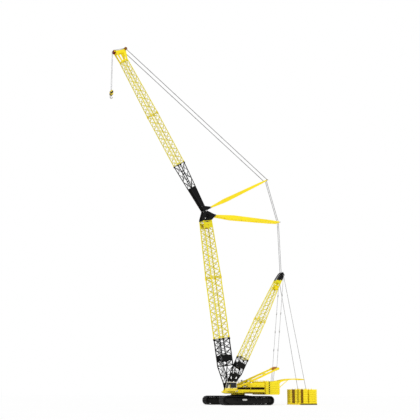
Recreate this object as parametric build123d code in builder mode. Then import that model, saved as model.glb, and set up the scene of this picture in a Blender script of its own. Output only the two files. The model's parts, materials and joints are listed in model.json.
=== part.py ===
"""Lattice-boom crawler crane with derrick mast, luffing jib and suspended ballast, at one tenth of full size.

Millimetres at model size. The origin is on the ground under the slewing axis, +X points the way the jib
points, +Y is the cab's side and +Z is up.
"""
import os
from math import cos, degrees, pi, radians, sin, sqrt

from build123d import *

# Tracks
TRACK_LENGTH = 1300.0
TRACK_HEIGHT = 205.0
TRACK_GAUGE = 880.0
SHOE_WIDTH = 195.0
SHOE_COUNT = 52
SHOE_GAP = 7.0
SHOE_THICKNESS = 12.0
LINK_DEPTH = 12.0
WHEEL_WIDTH = 90.0
ROLLER_RADIUS = 20.0
ROLLER_COUNT = 10
ROLLER_SPACING = 88.0
CARRIER_RADIUS = 14.0
CARRIER_COUNT = 3
CARRIER_SPACING = 330.0
HUB_RADIUS = 16.0
HUB_BOSS = 30.0
SPROCKET_TEETH = 12
TOOTH_DEPTH = 12.0
DRIVE_COVER_RADIUS = 46.0
DRIVE_COVER_DEPTH = 16.0
FRAME_PLATE = 10.0
FRAME_TOP = 162.0
FRAME_END_SHARE = 0.82
FRAME_END_HALF = 30.0
FRAME_WINDOWS = 5
FRAME_WINDOW_PITCH = 160.0
FRAME_WINDOW_LENGTH = 118.0
FRAME_WINDOW_HEIGHT = 44.0

# Car body and slewing ring
CAR_BODY_RADIUS = 215.0
CAR_BODY_SIDES = 8
CAR_BODY_BOTTOM = 88.0
CAR_BODY_TOP = 215.0
CROSS_BEAM_SPACING = 290.0
CROSS_BEAM_WIDTH = 84.0
CROSS_BEAM_ROOT_WIDTH = 130.0
CROSS_BEAM_ROOT_Y = 110.0
RING_RADIUS = 158.0
RING_BORE = 112.0
RING_SPLIT = 232.0

# Slewing platform
DECK_BOTTOM = 250.0
DECK_TOP = 300.0
DECK_FRONT = 330.0
DECK_REAR = -930.0
DECK_HALF_WIDTH = 190.0
NOSE_LENGTH = 90.0
NOSE_HEIGHT = 22.0
WELD_DEPTH = 5.0
GIRDER_TOP = 350.0
GIRDER_FRONT = -130.0
GIRDER_NOSE = 70.0
GIRDER_THICKNESS = 40.0
GIRDER_WINDOWS = 6
GIRDER_WINDOW_LENGTH = 74.0
GIRDER_WINDOW_HEIGHT = 22.0
WING_HALF_WIDTH = 340.0
WING_BOTTOM = 270.0
WING_REAR = -520.0
WING_BAYS = 5
WING_RIB = 10.0
WING_PLATE = 10.0
CAB_WING_FRONT = 440.0
RIGHT_WING_FRONT = 200.0

# Boom and derrick foot pins, on one axis
FOOT_PIN_X = 240.0
FOOT_PIN_Z = 345.0
FOOT_PIN_RADIUS = 14.0
PIN_CLEARANCE = 0.05
FOOT_PIN_INNER = 64.0
FOOT_PIN_OUTER = 190.0
CHEEK_THICKNESS = 14.0
CHEEK_YS = (77.0, 123.0, 177.0)
CHEEK_RADIUS = 34.0

# Winches
WINCH_RADIUS = 46.0
WINCH_FLANGE = 66.0
WINCH_HALF = 110.0
WINCH_LIFT = 8.0
WINCH_BEARING = 30.0
WINCH_PLATE = 18.0
WINCH_FOOT_HALF = 60.0
FLANGE_WIDTH = 12.0
WINCH_SHAFT = 12.0
HOIST_WINCH_X = -220.0
LUFFING_WINCH_X = -420.0
BOOM_WINCH_SHARE = 0.61
BOOM_WINCH_RADIUS = 58.0
BOOM_WINCH_FLANGE = 88.0
BOOM_WINCH_HALF = 122.0
DERRICK_WINCH_SHARE = 0.77
DERRICK_WINCH_RADIUS = 44.0
DERRICK_WINCH_FLANGE = 66.0
DERRICK_WINCH_HALF = 74.0
BEARING_PLATE = 8.0
BEARING_HALF_HEIGHT = 66.0

# Machinery houses and engine
HOUSE_FRONT = -150.0
HOUSE_REAR = -510.0
HOUSE_TOP = 490.0
HOUSE_INNER = 196.0
HOUSE_WALL = 6.0
HOUSE_EDGE = 10.0
GRILLE_COUNT = 6
GRILLE_PITCH = 55.0
GRILLE_LENGTH = 44.0
GRILLE_HEIGHT = 26.0
GRILLE_LIFT = 55.0
ENGINE_LENGTH = 280.0
ENGINE_WIDTH = 90.0
ENGINE_HEIGHT = 120.0

# Main boom
BOOM_ANGLE = 81.2
BOOM_LENGTH = 4115.0
BOOM_LUG_Y = 150.0
BOOM_LUG_THICKNESS = 24.0
BOOM_CHORD_RADIUS = 12.0
BOOM_LACE = 9.0
BOOM_HALF_DEPTH = 120.0
BOOM_HALF_WIDTH = 150.0
BOOM_TOP_HALF_DEPTH = 100.0
BOOM_TOP_HALF_WIDTH = 110.0
BOOM_HEAD_LENGTH = 225.0
BOOM_BAYS = (5, 11, 11)
BOOM_FOOT_END = 0.282 * BOOM_LENGTH
BOOM_FOOT_KNEE = 0.45 * BOOM_FOOT_END
BOOM_YELLOW_END = BOOM_LENGTH - BOOM_HEAD_LENGTH
BOOM_MIDDLE_END = BOOM_FOOT_END + 0.513 * (BOOM_YELLOW_END - BOOM_FOOT_END)

# Luffing jib
JIB_ANGLE = 58.3
JIB_LENGTH = 4100.0
JIB_PIN_RADIUS = 12.0
JIB_LUG_Y = 84.0
JIB_LUG_THICKNESS = 24.0
JIB_CHORD_RADIUS = 9.0
JIB_LACE = 7.0
JIB_HALF_DEPTH = 90.0
JIB_HALF_WIDTH = 110.0
JIB_HEAD_LENGTH = 150.0
JIB_BAYS = (3, 12, 13)
JIB_FOOT_END = 0.305 * JIB_LENGTH
JIB_LEG_END = 0.496 * JIB_FOOT_END
JIB_YELLOW_END = JIB_LENGTH - JIB_HEAD_LENGTH
JIB_MIDDLE_END = JIB_FOOT_END + 0.482 * (JIB_YELLOW_END - JIB_FOOT_END)

# Derrick mast
DERRICK_ANGLE = 117.3
DERRICK_LENGTH = 3050.0
DERRICK_LUG_Y = 100.0
DERRICK_LUG_THICKNESS = 20.0
DERRICK_CHORD_RADIUS = 9.0
DERRICK_LACE = 7.0
DERRICK_HALF_DEPTH = 96.0
DERRICK_HALF_WIDTH = 100.0
DERRICK_HEAD_LENGTH = 240.0
DERRICK_FOOT_END = 0.259 * DERRICK_LENGTH
DERRICK_FOOT_KNEE = 0.53 * DERRICK_FOOT_END
DERRICK_YELLOW_END = DERRICK_LENGTH - DERRICK_HEAD_LENGTH
DERRICK_MIDDLE_END = DERRICK_FOOT_END + 0.497 * (DERRICK_YELLOW_END - DERRICK_FOOT_END)
DERRICK_BAYS = (3, 8, 9)
DERRICK_SHEAVE = 44.0
DERRICK_TOP_HALF = 60.0
DERRICK_PLATE = 14.0
BALLAST_ROPE_Y = 122.0

# Jib struts
STRUT_LENGTH = 1735.0
STRUT_ANGLE_FRONT = 151.4
STRUT_ANGLE_REAR = 180.4
REAR_STRUT_Y = 84.0
FRONT_STRUT_Y = 54.0
STRUT_HEAD_Y = 100.0
HEAD_PIN_RADIUS = 12.0
STRUT_PIN_RADIUS = 10.0
STRUT_LEG_THICKNESS = 22.0
STRUT_EYE = 20.0
STRUT_BROAD_HALF = 48.0
STRUT_NARROW_HALF = 28.0
REAR_STRUT_X = -218.0
REAR_STRUT_DROP = 120.0
FRONT_STRUT_X = -149.0
FRONT_STRUT_Z = 13.0

# Gantry
GANTRY_FOOT_X = 60.0
GANTRY_FOOT_Z = 400.0
GANTRY_ANGLE = 157.6
GANTRY_LENGTH = 1108.0
GANTRY_LEG_Y = 165.0
GANTRY_LEG_THICKNESS = 24.0
GANTRY_PIN_RADIUS = 10.0
GANTRY_EAR = 26.0
GANTRY_EAR_OFFSET = 22.0
GANTRY_SHEAVE = 46.0
GANTRY_SHEAVE_YS = (-56.0, 0.0, 56.0)
LOWER_BLOCK_X = -893.0
LOWER_BLOCK_HALF = 80.0
LOWER_SHEAVE = 30.0
LOWER_SHEAVE_TOP = 540.0

# Stays and ropes
STAY_RADIUS = 5.0
ROPE_RADIUS = 3.0
SEAT_GAP = 0.3

# Counterweights and ballast
WEIGHT_BOTTOM = 230.0
WEIGHT_TOP = 530.0
WEIGHT_FRONT = -540.0
WEIGHT_REAR = -905.0
WEIGHT_INNER = 194.0
WEIGHT_OUTER = 340.0
TRAY_FRONT = -1465.0
TRAY_REAR = -1920.0
TRAY_HALF_WIDTH = 300.0
TRAY_TOP = 40.0
BALLAST_TOP = 355.0
BALLAST_GAP = 40.0
YOKE_Y = 185.0
YOKE_TOP = 372.0
SLAB_SEAM = 4.0
NOTCH_WIDTH = 84.0
WEIGHT_NOTCH_WIDTH = 30.0
WEIGHT_NOTCH_X = 90.0
NOTCH_DEPTH = 12.0
WEIGHT_SLABS = 7
BALLAST_SLABS = 8
CARRIER_CORNER = 30.0

# Frame that guides the ballast
GUIDE_Y = 120.0
GUIDE_PLATE = 12.0
GUIDE_ROOT_TOP = 505.0
GUIDE_ROOT_BOTTOM = 470.0
GUIDE_MID_X = -1250.0
GUIDE_MID_TOP = 590.0
GUIDE_MID_BOTTOM = 562.0
GUIDE_END_X = -1690.0
GUIDE_END_TOP = 590.0
GUIDE_END_BOTTOM = 567.0
GUIDE_TIE_RADIUS = 9.0
GUIDE_BRACE = 14.0
GUIDE_BRACE_Z = 330.0

# Cab
CAB_REAR = 215.0
CAB_FRONT = 430.0
CAB_INNER = 222.0
CAB_OUTER = 378.0
CAB_FLOOR = 306.0
CAB_ROOF = 506.0
CAB_WALL = 8.0
CAB_HINGE_X = 201.0
CAB_HINGE_Z = 320.0
CAB_HINGE_RADIUS = 6.0
CAB_EAR_RADIUS = 13.0
DOOR_REAR = 248.0
DOOR_LENGTH = 126.0
DOOR_GAP = 1.0
DOOR_HEIGHT = 170.0
DOOR_HINGE_RADIUS = 4.0
GLASS = 3.0
CAB_CORNER = 14.0
CAB_LEAN = 40.0
CAB_REAR_LEAN = 8.0
CAB_SILL = 70.0
CAB_HEADER = 20.0
SCREEN_MARGIN = 20.0
WINDOW_LENGTH = 130.0
WINDOW_HEIGHT = 96.0
WINDOW_CORNER = 12.0
WINDOW_LIFT = 130.0
REAR_WINDOW_WIDTH = 96.0
REAR_WINDOW_HEIGHT = 60.0
DOOR_FRAME = 12.0
DOOR_WINDOW_HEIGHT = 90.0
DOOR_LIFT = 99.0
HINGE_HALF = 14.0

# Hook
HOOK_DROP = 1000.0
TIP_SHEAVE_RADIUS = 42.0
TIP_SHEAVE_X = 105.0
TIP_SHEAVE_RISE = 135.0
TIP_SHEAVE_YS = (-28.0, 28.0)
STAY_HORN_X = -157.0
STAY_HORN_RISE = 90.0
JIB_GUIDE_SHEAVE = 36.0
JIB_HEAD_Y = 70.0
BOOM_TOP_SHEAVE = 70.0
BOOM_TOP_SHEAVE_YS = (-56.0, 0.0, 56.0)
BOOM_TOP_SHEAVE_DROP = 110.0
SHEAVE_WIDTH = 24.0
GROOVE_SLOPE = 2 / 3
BLOCK_HALF_LENGTH = 60.0
BLOCK_SHEAVE = 30.0
BLOCK_CHEEK = 6.0
BLOCK_CHEEK_Y = 43.0
HOOK_OUTER = 36.0
HOOK_INNER = 20.0
HOOK_THICKNESS = 18.0
HOOK_NECK = 11.0

MIN_Z = (Align.CENTER, Align.CENTER, Align.MIN)
CORNERS = ((1, 1), (1, -1), (-1, -1), (-1, 1))


def tilted_frame(x, z, angle):
    """Frame at a pivot: local Z runs along a member at that angle, local X to its front, local Y is +Y."""
    c, s = cos(radians(angle)), sin(radians(angle))
    return Plane(origin=(x, 0, z), x_dir=(s, 0, -c), z_dir=(c, 0, s))


def at(frame, x, y, z):
    """Point of the part's frame given by a member's local coordinates."""
    return frame.from_local_coords(Vector(x, y, z))


def side_plane(frame, y):
    """Sketch plane of a side view of the frame: sketch X is local X, sketch Y is local Z."""
    return Plane(origin=at(frame, 0, y, 0), x_dir=frame.x_dir, z_dir=-frame.y_dir)


def mix(a, b, share):
    return a + (b - a) * share


def tube(start, end, radius):
    """Round member between two points."""
    run = Vector(end) - Vector(start)
    with BuildPart(Plane(origin=start, z_dir=run)) as member:
        Cylinder(radius, run.length, align=MIN_Z)
    return member.part


def chord_bar(start, end, radius):
    """Eight-sided chord member between two points, twice the radius across its flats."""
    run = Vector(end) - Vector(start)
    with BuildPart() as member:
        with BuildSketch(Plane(origin=start, z_dir=run)):
            RegularPolygon(radius, 8, major_radius=False)
        extrude(amount=run.length)
    return member.part


def bar(start, end, size):
    """Square lacing member between two points."""
    run = Vector(end) - Vector(start)
    with BuildPart(Plane(origin=start, z_dir=run)) as member:
        Box(size, size, run.length, align=MIN_Z)
    return member.part


def cross_tube(frame, x, z, half_length, radius):
    """Round member across the frame, along Y."""
    return tube(at(frame, x, -half_length, z), at(frame, x, half_length, z), radius)


def turned(centre, half_section):
    """Solid turned about an axis along Y, from the corners of its half section as y and radius."""
    with BuildPart() as solid:
        with BuildSketch(Plane(origin=(centre.X, 0, centre.Z), x_dir=(0, 1, 0), z_dir=(1, 0, 0))):
            with BuildLine():
                Polyline(*half_section, close=True)
            make_face()
        revolve(axis=Axis((centre.X, 0, centre.Z), (0, 1, 0)))
    return solid.part


def groove_floor(radius, width):
    """Radius at the bottom of a sheave's V groove."""
    return radius - GROOVE_SLOPE * width / 2


def groove_seat(radius, width):
    """Distance from the axis at which a rope's flat end rests in the groove."""
    return groove_floor(radius, width) + GROOVE_SLOPE * ROPE_RADIUS + SEAT_GAP


def sheave(centre, y, radius, width, bore):
    """Rope sheave on an axis along Y, with a V groove round its rim; a bore of zero leaves it solid."""
    left, right = y - width / 2, y + width / 2
    floor = (y, groove_floor(radius, width))
    return turned(centre, ((left, bore), (left, radius), floor, (right, radius), (right, bore)))


def drum(centre, half, core, flange, shaft_half):
    """Winch drum along Y with two end flanges and its shaft, turned in one."""
    rim = half - FLANGE_WIDTH
    right = (
        (rim, core), (rim, flange), (half, flange), (half, WINCH_SHAFT), (shaft_half, WINCH_SHAFT),
        (shaft_half, 0),
    )
    left = tuple((-y, radius) for y, radius in reversed(right))
    return turned(centre, left + right)


def slab_stack(x, y, z_from, z_to, length, width, count, notch, notch_x=0):
    """Pile of like slabs with open seams on a narrower core, each notched in both long sides."""
    pitch = (z_to - z_from + SLAB_SEAM) / count
    with BuildPart(Location((x, y, z_from))) as stack:
        Box(length - 2 * NOTCH_DEPTH, width - 2 * NOTCH_DEPTH, z_to - z_from, align=MIN_Z)
        with BuildSketch() as slab:
            Rectangle(length, width)
            with Locations((notch_x, -width / 2), (notch_x, width / 2)):
                Rectangle(notch, 2 * NOTCH_DEPTH, mode=Mode.SUBTRACT)
        for i in range(count):
            with Locations((0, 0, i * pitch)):
                add(extrude(slab.sketch, amount=pitch - SLAB_SEAM, mode=Mode.PRIVATE))
    return stack.part


def lattice(frame, z_from, z_to, box_from, box_to, bays, chord, lace):
    """Four chords with zigzag lacing on each face and a square frame at both ends.

    box_from and box_to are the half depth and half width of the chord lines at the two ends.
    """

    def corner(index, z):
        share = (z - z_from) / (z_to - z_from)
        sx, sy = CORNERS[index % 4]
        depth, width = mix(box_from[0], box_to[0], share), mix(box_from[1], box_to[1], share)
        return at(frame, sx * depth, sy * width, z)

    members = [chord_bar(corner(k, z_from - chord), corner(k, z_to + chord), chord) for k in range(4)]
    low, high = z_from + chord, z_to - chord
    for k in range(4):
        for i in range(bays):
            near, far = (k, k + 1) if (i + k) % 2 == 0 else (k + 1, k)
            start = corner(near, mix(low, high, i / bays))
            members.append(bar(start, corner(far, mix(low, high, (i + 1) / bays)), lace))
        members.append(bar(corner(k, low), corner(k + 1, low), lace))
        members.append(bar(corner(k, high), corner(k + 1, high), lace))
    return members


def trim_ends(frame, z_from, z_to):
    """Cuts the current part square to the frame's axis at both ends."""
    split(bisect_by=Plane(origin=at(frame, 0, 0, z_from), z_dir=frame.z_dir), keep=Keep.TOP)
    split(bisect_by=Plane(origin=at(frame, 0, 0, z_to), z_dir=frame.z_dir), keep=Keep.BOTTOM)


def side_plate(frame, y, thickness, corners, bosses, bores):
    """Plate in a side view: its outline, round bosses as x, z and radius, and bores likewise."""
    with BuildSketch(side_plane(frame, y)) as outline:
        with BuildLine():
            Polyline(*corners, close=True)
        make_face()
        for x, z, radius in bosses:
            with Locations((x, z)):
                Circle(radius)
        for x, z, radius in bores:
            with Locations((x, z)):
                Circle(radius, mode=Mode.SUBTRACT)
    return extrude(outline.sketch, amount=thickness / 2, both=True, mode=Mode.PRIVATE)


def leg_plates(frame, leg_y, thickness, pin_radius, eye, height, top_half, openings=()):
    """Foot plates of a pair of legs, round about the pin and wider above, with lightening holes."""
    corners = ((-eye, 0), (eye, 0), (top_half, height), (-top_half, height))
    bores = ((0, 0, pin_radius + PIN_CLEARANCE), *openings)
    return [side_plate(frame, side * leg_y, thickness, corners, ((0, 0, eye),), bores) for side in (1, -1)]


def legs(frame, leg_y, z_foot, z_top, x_foot, x_top, radius):
    """Front and rear chords of a pair of legs, from the foot plates up to the lattice."""
    members = []
    for sx, sy in CORNERS:
        foot = at(frame, sx * x_foot, sy * leg_y, z_foot)
        members.append(tube(foot, at(frame, sx * x_top, sy * leg_y, z_top), radius))
    return members


def winch_bearings(frame, y, half_depth, z):
    """Pair of bearing plates across a lattice's sides, to be bored for a shaft."""
    corners = (
        (-half_depth, z - BEARING_HALF_HEIGHT), (half_depth, z - BEARING_HALF_HEIGHT),
        (half_depth, z + BEARING_HALF_HEIGHT), (-half_depth, z + BEARING_HALF_HEIGHT),
    )
    return [side_plate(frame, side * y, BEARING_PLATE, corners, (), ()) for side in (1, -1)]


def shaft_bore(frame, y, z):
    """Round cutter for a shaft across the frame, past both bearing plates."""
    return cross_tube(frame, 0, z, y + 2 * BEARING_PLATE, WINCH_SHAFT + PIN_CLEARANCE)


def rope_run(start, end, y_start, y_end, radius, start_gap, end_gap):
    """Straight rope between two points, off their pins by the two gaps."""
    a = Vector(start.X, y_start, start.Z)
    b = Vector(end.X, y_end, end.Z)
    way = (b - a).normalized()
    return tube(a + way * start_gap, b - way * end_gap, radius)


pieces = []


def finish(builder, name):
    builder.part.label = name
    pieces.append(builder.part)


WORLD = Plane.XY
BOOM = tilted_frame(FOOT_PIN_X, FOOT_PIN_Z, BOOM_ANGLE)
JIB_PIVOT = at(BOOM, 0, 0, BOOM_LENGTH)
JIB = tilted_frame(JIB_PIVOT.X, JIB_PIVOT.Z, JIB_ANGLE)
DERRICK = tilted_frame(FOOT_PIN_X, FOOT_PIN_Z, DERRICK_ANGLE)
GANTRY = tilted_frame(GANTRY_FOOT_X, GANTRY_FOOT_Z, GANTRY_ANGLE)

# Undercarriage
LOOP_STRAIGHT = TRACK_LENGTH - TRACK_HEIGHT
LOOP_RADIUS = TRACK_HEIGHT / 2 - SHOE_THICKNESS / 2
LOOP_PERIMETER = 2 * LOOP_STRAIGHT + 2 * pi * LOOP_RADIUS
SHOE_PITCH = LOOP_PERIMETER / SHOE_COUNT
SHOE_LENGTH = SHOE_PITCH - SHOE_GAP
BEND_RADIUS = sqrt((TRACK_HEIGHT / 2) ** 2 - (SHOE_LENGTH / 2) ** 2) - SHOE_THICKNESS / 2
BAND_DEPTH = SHOE_THICKNESS + LINK_DEPTH + SEAT_GAP
WHEEL_RADIUS = TRACK_HEIGHT / 2 - BAND_DEPTH
WHEEL_X = LOOP_STRAIGHT / 2
LOOP_MID_Z = TRACK_HEIGHT / 2
ROLLER_Z = BAND_DEPTH + ROLLER_RADIUS
CARRIER_Z = TRACK_HEIGHT - BAND_DEPTH - CARRIER_RADIUS
WHEEL_ROOM = WHEEL_WIDTH / 2 + 3
PLATE_OUTER = WHEEL_ROOM + FRAME_PLATE
CORE_BOTTOM = ROLLER_Z + ROLLER_RADIUS + 4
CORE_HALF = 0.75 * WHEEL_X
FRAME_SHOULDER = FRAME_END_SHARE * WHEEL_X
FRAME_BOTTOM = ROLLER_Z - 0.7 * ROLLER_RADIUS


def loop_station(run):
    """Place of a shoe on the loop, as x, z and its turn in degrees, from its run along the loop."""
    half = LOOP_STRAIGHT / 2
    arc = pi * LOOP_RADIUS
    if run < LOOP_STRAIGHT:
        return -half + run, -LOOP_RADIUS, 0.0
    run -= LOOP_STRAIGHT
    if run < arc:
        turn = run / LOOP_RADIUS
        return half + BEND_RADIUS * sin(turn), -BEND_RADIUS * cos(turn), degrees(turn)
    run -= arc
    if run < LOOP_STRAIGHT:
        return half - run, LOOP_RADIUS, 180.0
    turn = (run - LOOP_STRAIGHT) / LOOP_RADIUS
    return -half - BEND_RADIUS * sin(turn), BEND_RADIUS * cos(turn), 180.0 + degrees(turn)


for side, name in ((1, "left"), (-1, "right")):
    centre = side * TRACK_GAUGE / 2

    with BuildPart() as track:
        with BuildSketch(side_plane(WORLD, centre)):
            with Locations((0, LOOP_MID_Z)):
                SlotOverall(TRACK_LENGTH - 2 * SHOE_THICKNESS, TRACK_HEIGHT - 2 * SHOE_THICKNESS)
                for i in range(SHOE_COUNT):
                    x, z, turn = loop_station((i + 0.5) * SHOE_PITCH)
                    with Locations(Location((x, z, 0), (0, 0, turn))):
                        Rectangle(SHOE_LENGTH, SHOE_THICKNESS)
                        with Locations((0, SHOE_THICKNESS / 2)):
                            Rectangle(SHOE_LENGTH / 2, SHOE_THICKNESS)
                core = 2 * SHOE_THICKNESS + 2 * LINK_DEPTH
                SlotOverall(TRACK_LENGTH - core, TRACK_HEIGHT - core, mode=Mode.SUBTRACT)
        extrude(amount=SHOE_WIDTH / 2, both=True)
    finish(track, f"track_{name}")

    with BuildPart() as frame:
        for plate_side in (1, -1):
            with BuildSketch(side_plane(WORLD, centre + plate_side * (WHEEL_ROOM + FRAME_PLATE / 2))):
                with BuildLine():
                    lower = Polyline(
                        (-WHEEL_X, LOOP_MID_Z - FRAME_END_HALF), (-FRAME_SHOULDER, FRAME_BOTTOM),
                        (FRAME_SHOULDER, FRAME_BOTTOM), (WHEEL_X, LOOP_MID_Z - FRAME_END_HALF),
                    )
                    upper = Polyline(
                        (WHEEL_X, LOOP_MID_Z + FRAME_END_HALF), (FRAME_SHOULDER, FRAME_TOP),
                        (-FRAME_SHOULDER, FRAME_TOP), (-WHEEL_X, LOOP_MID_Z + FRAME_END_HALF),
                    )
                    Line(lower @ 1, upper @ 0)
                    Line(upper @ 1, lower @ 0)
                make_face()
                with Locations((0, (CORE_BOTTOM + FRAME_TOP) / 2)):
                    with GridLocations(FRAME_WINDOW_PITCH, 1, FRAME_WINDOWS, 1):
                        Rectangle(FRAME_WINDOW_LENGTH, FRAME_WINDOW_HEIGHT, mode=Mode.SUBTRACT)
                with Locations((-WHEEL_X, LOOP_MID_Z), (WHEEL_X, LOOP_MID_Z)):
                    Circle(HUB_BOSS)
                    Circle(HUB_RADIUS + SEAT_GAP, mode=Mode.SUBTRACT)
            extrude(amount=FRAME_PLATE / 2, both=True)
        with Locations((0, centre, CORE_BOTTOM)):
            Box(2 * CORE_HALF, 2 * WHEEL_ROOM, FRAME_TOP - CORE_BOTTOM, align=MIN_Z)
        with BuildSketch(side_plane(WORLD, centre)):
            with Locations((0, ROLLER_Z)):
                with GridLocations(ROLLER_SPACING, 1, ROLLER_COUNT, 1):
                    Circle(ROLLER_RADIUS)
            with Locations((0, CARRIER_Z)):
                with GridLocations(CARRIER_SPACING, 1, CARRIER_COUNT, 1):
                    Circle(CARRIER_RADIUS)
        extrude(amount=WHEEL_ROOM, both=True)
        cover = centre + side * PLATE_OUTER
        with BuildSketch(Plane(origin=(-WHEEL_X, cover, LOOP_MID_Z), z_dir=(0, side, 0))):
            Circle(DRIVE_COVER_RADIUS)
        extrude(amount=DRIVE_COVER_DEPTH, taper=12)
    finish(frame, f"track_frame_{name}")

    with BuildPart() as wheels:
        with BuildSketch(side_plane(WORLD, centre)):
            with Locations((WHEEL_X, LOOP_MID_Z)):
                Circle(WHEEL_RADIUS)
            with Locations((-WHEEL_X, LOOP_MID_Z)):
                Circle(WHEEL_RADIUS)
                with PolarLocations(WHEEL_RADIUS, SPROCKET_TEETH):
                    Circle(TOOTH_DEPTH, mode=Mode.SUBTRACT)
        extrude(amount=WHEEL_WIDTH / 2, both=True)
        with BuildSketch(side_plane(WORLD, centre)):
            with Locations((-WHEEL_X, LOOP_MID_Z), (WHEEL_X, LOOP_MID_Z)):
                Circle(HUB_RADIUS)
        extrude(amount=PLATE_OUTER - SEAT_GAP, both=True)
    finish(wheels, f"track_wheels_{name}")

BEAM_END_Y = TRACK_GAUGE / 2 - PLATE_OUTER
with BuildPart() as car_body:
    with BuildSketch(Plane.XY.offset(CAR_BODY_BOTTOM)):
        RegularPolygon(CAR_BODY_RADIUS, CAR_BODY_SIDES, rotation=180 / CAR_BODY_SIDES)
    extrude(amount=CAR_BODY_TOP - CAR_BODY_BOTTOM)
    for sx, sy in CORNERS:
        beam_x = sx * CROSS_BEAM_SPACING / 2
        root = Vector(beam_x, sy * CROSS_BEAM_ROOT_Y, (CAR_BODY_BOTTOM + CAR_BODY_TOP) / 2)
        end = Vector(beam_x, sy * BEAM_END_Y, (CAR_BODY_BOTTOM + FRAME_TOP) / 2)
        with BuildSketch(Plane(origin=root, x_dir=(1, 0, 0), z_dir=(0, 1, 0))):
            Rectangle(CROSS_BEAM_ROOT_WIDTH, CAR_BODY_TOP - CAR_BODY_BOTTOM)
        with BuildSketch(Plane(origin=end, x_dir=(1, 0, 0), z_dir=(0, 1, 0))):
            Rectangle(CROSS_BEAM_WIDTH, FRAME_TOP - CAR_BODY_BOTTOM)
        loft()
finish(car_body, "car_body")

with BuildPart() as slewing_ring:
    with BuildSketch(Plane.XY.offset(CAR_BODY_TOP)):
        Circle(RING_RADIUS)
        Circle(RING_BORE, mode=Mode.SUBTRACT)
    extrude(amount=RING_SPLIT - CAR_BODY_TOP)
finish(slewing_ring, "slewing_ring")

# Superstructure
with BuildPart() as slewing_platform:
    with BuildSketch(Plane.XY.offset(RING_SPLIT + SEAT_GAP)):
        Circle(RING_RADIUS)
        Circle(RING_BORE, mode=Mode.SUBTRACT)
    extrude(amount=DECK_BOTTOM - RING_SPLIT)
    with BuildSketch(side_plane(WORLD, 0)):
        with BuildLine():
            Polyline(
                (DECK_FRONT, DECK_TOP), (DECK_FRONT, DECK_TOP - NOSE_HEIGHT),
                (DECK_FRONT - NOSE_LENGTH, DECK_BOTTOM), (DECK_REAR, DECK_BOTTOM), (DECK_REAR, DECK_TOP),
                close=True,
            )
        make_face()
    extrude(amount=DECK_HALF_WIDTH, both=True)
    root_z = DECK_TOP - WELD_DEPTH
    for side in (1, -1):
        with BuildSketch(side_plane(WORLD, side * (DECK_HALF_WIDTH - GIRDER_THICKNESS / 2))):
            with BuildLine():
                Polyline(
                    (GIRDER_FRONT, root_z), (GIRDER_FRONT - GIRDER_NOSE, GIRDER_TOP), (DECK_REAR, GIRDER_TOP),
                    (DECK_REAR, root_z), close=True,
                )
            make_face()
            with Locations(((GIRDER_FRONT - GIRDER_NOSE + DECK_REAR) / 2, (DECK_TOP + GIRDER_TOP) / 2)):
                pitch = (GIRDER_FRONT - GIRDER_NOSE - DECK_REAR) / GIRDER_WINDOWS
                with GridLocations(pitch, 1, GIRDER_WINDOWS, 1):
                    Rectangle(GIRDER_WINDOW_LENGTH, GIRDER_WINDOW_HEIGHT, mode=Mode.SUBTRACT)
        extrude(amount=GIRDER_THICKNESS / 2, both=True)
        wing_front = CAB_WING_FRONT if side == 1 else RIGHT_WING_FRONT
        wing_length = wing_front - WING_REAR
        wing_width = WING_HALF_WIDTH - DECK_HALF_WIDTH
        wing_y = side * (DECK_HALF_WIDTH + WING_HALF_WIDTH) / 2
        with Locations(((wing_front + WING_REAR) / 2, wing_y, WING_BOTTOM)):
            Box(wing_length, wing_width, DECK_TOP - WING_BOTTOM, align=MIN_Z)
            with GridLocations(wing_length / WING_BAYS, 1, WING_BAYS, 1):
                pocket = DECK_TOP - WING_BOTTOM - WING_PLATE
                bay = wing_length / WING_BAYS - WING_RIB
                Box(bay, wing_width - 2 * WING_RIB, pocket, align=MIN_Z, mode=Mode.SUBTRACT)
        cheek = (
            (FOOT_PIN_X - CHEEK_RADIUS, FOOT_PIN_Z), (FOOT_PIN_X - 2 * CHEEK_RADIUS, root_z),
            (FOOT_PIN_X + 2 * CHEEK_RADIUS, root_z), (FOOT_PIN_X + CHEEK_RADIUS, FOOT_PIN_Z),
        )
        foot_bore = ((FOOT_PIN_X, FOOT_PIN_Z, FOOT_PIN_RADIUS + PIN_CLEARANCE),)
        for y in CHEEK_YS:
            boss = ((FOOT_PIN_X, FOOT_PIN_Z, CHEEK_RADIUS),)
            add(side_plate(WORLD, side * y, CHEEK_THICKNESS, cheek, boss, foot_bore))
        ear = (
            (GANTRY_FOOT_X - GANTRY_EAR, GANTRY_FOOT_Z), (GANTRY_FOOT_X - 1.5 * GANTRY_EAR, root_z),
            (GANTRY_FOOT_X + 1.5 * GANTRY_EAR, root_z), (GANTRY_FOOT_X + GANTRY_EAR, GANTRY_FOOT_Z),
        )
        ear_bore = ((GANTRY_FOOT_X, GANTRY_FOOT_Z, GANTRY_PIN_RADIUS + PIN_CLEARANCE),)
        for y in (GANTRY_LEG_Y - GANTRY_EAR_OFFSET, GANTRY_LEG_Y + GANTRY_EAR_OFFSET):
            boss = ((GANTRY_FOOT_X, GANTRY_FOOT_Z, GANTRY_EAR),)
            add(side_plate(WORLD, side * y, FLANGE_WIDTH, ear, boss, ear_bore))
finish(slewing_platform, "slewing_platform")

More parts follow.
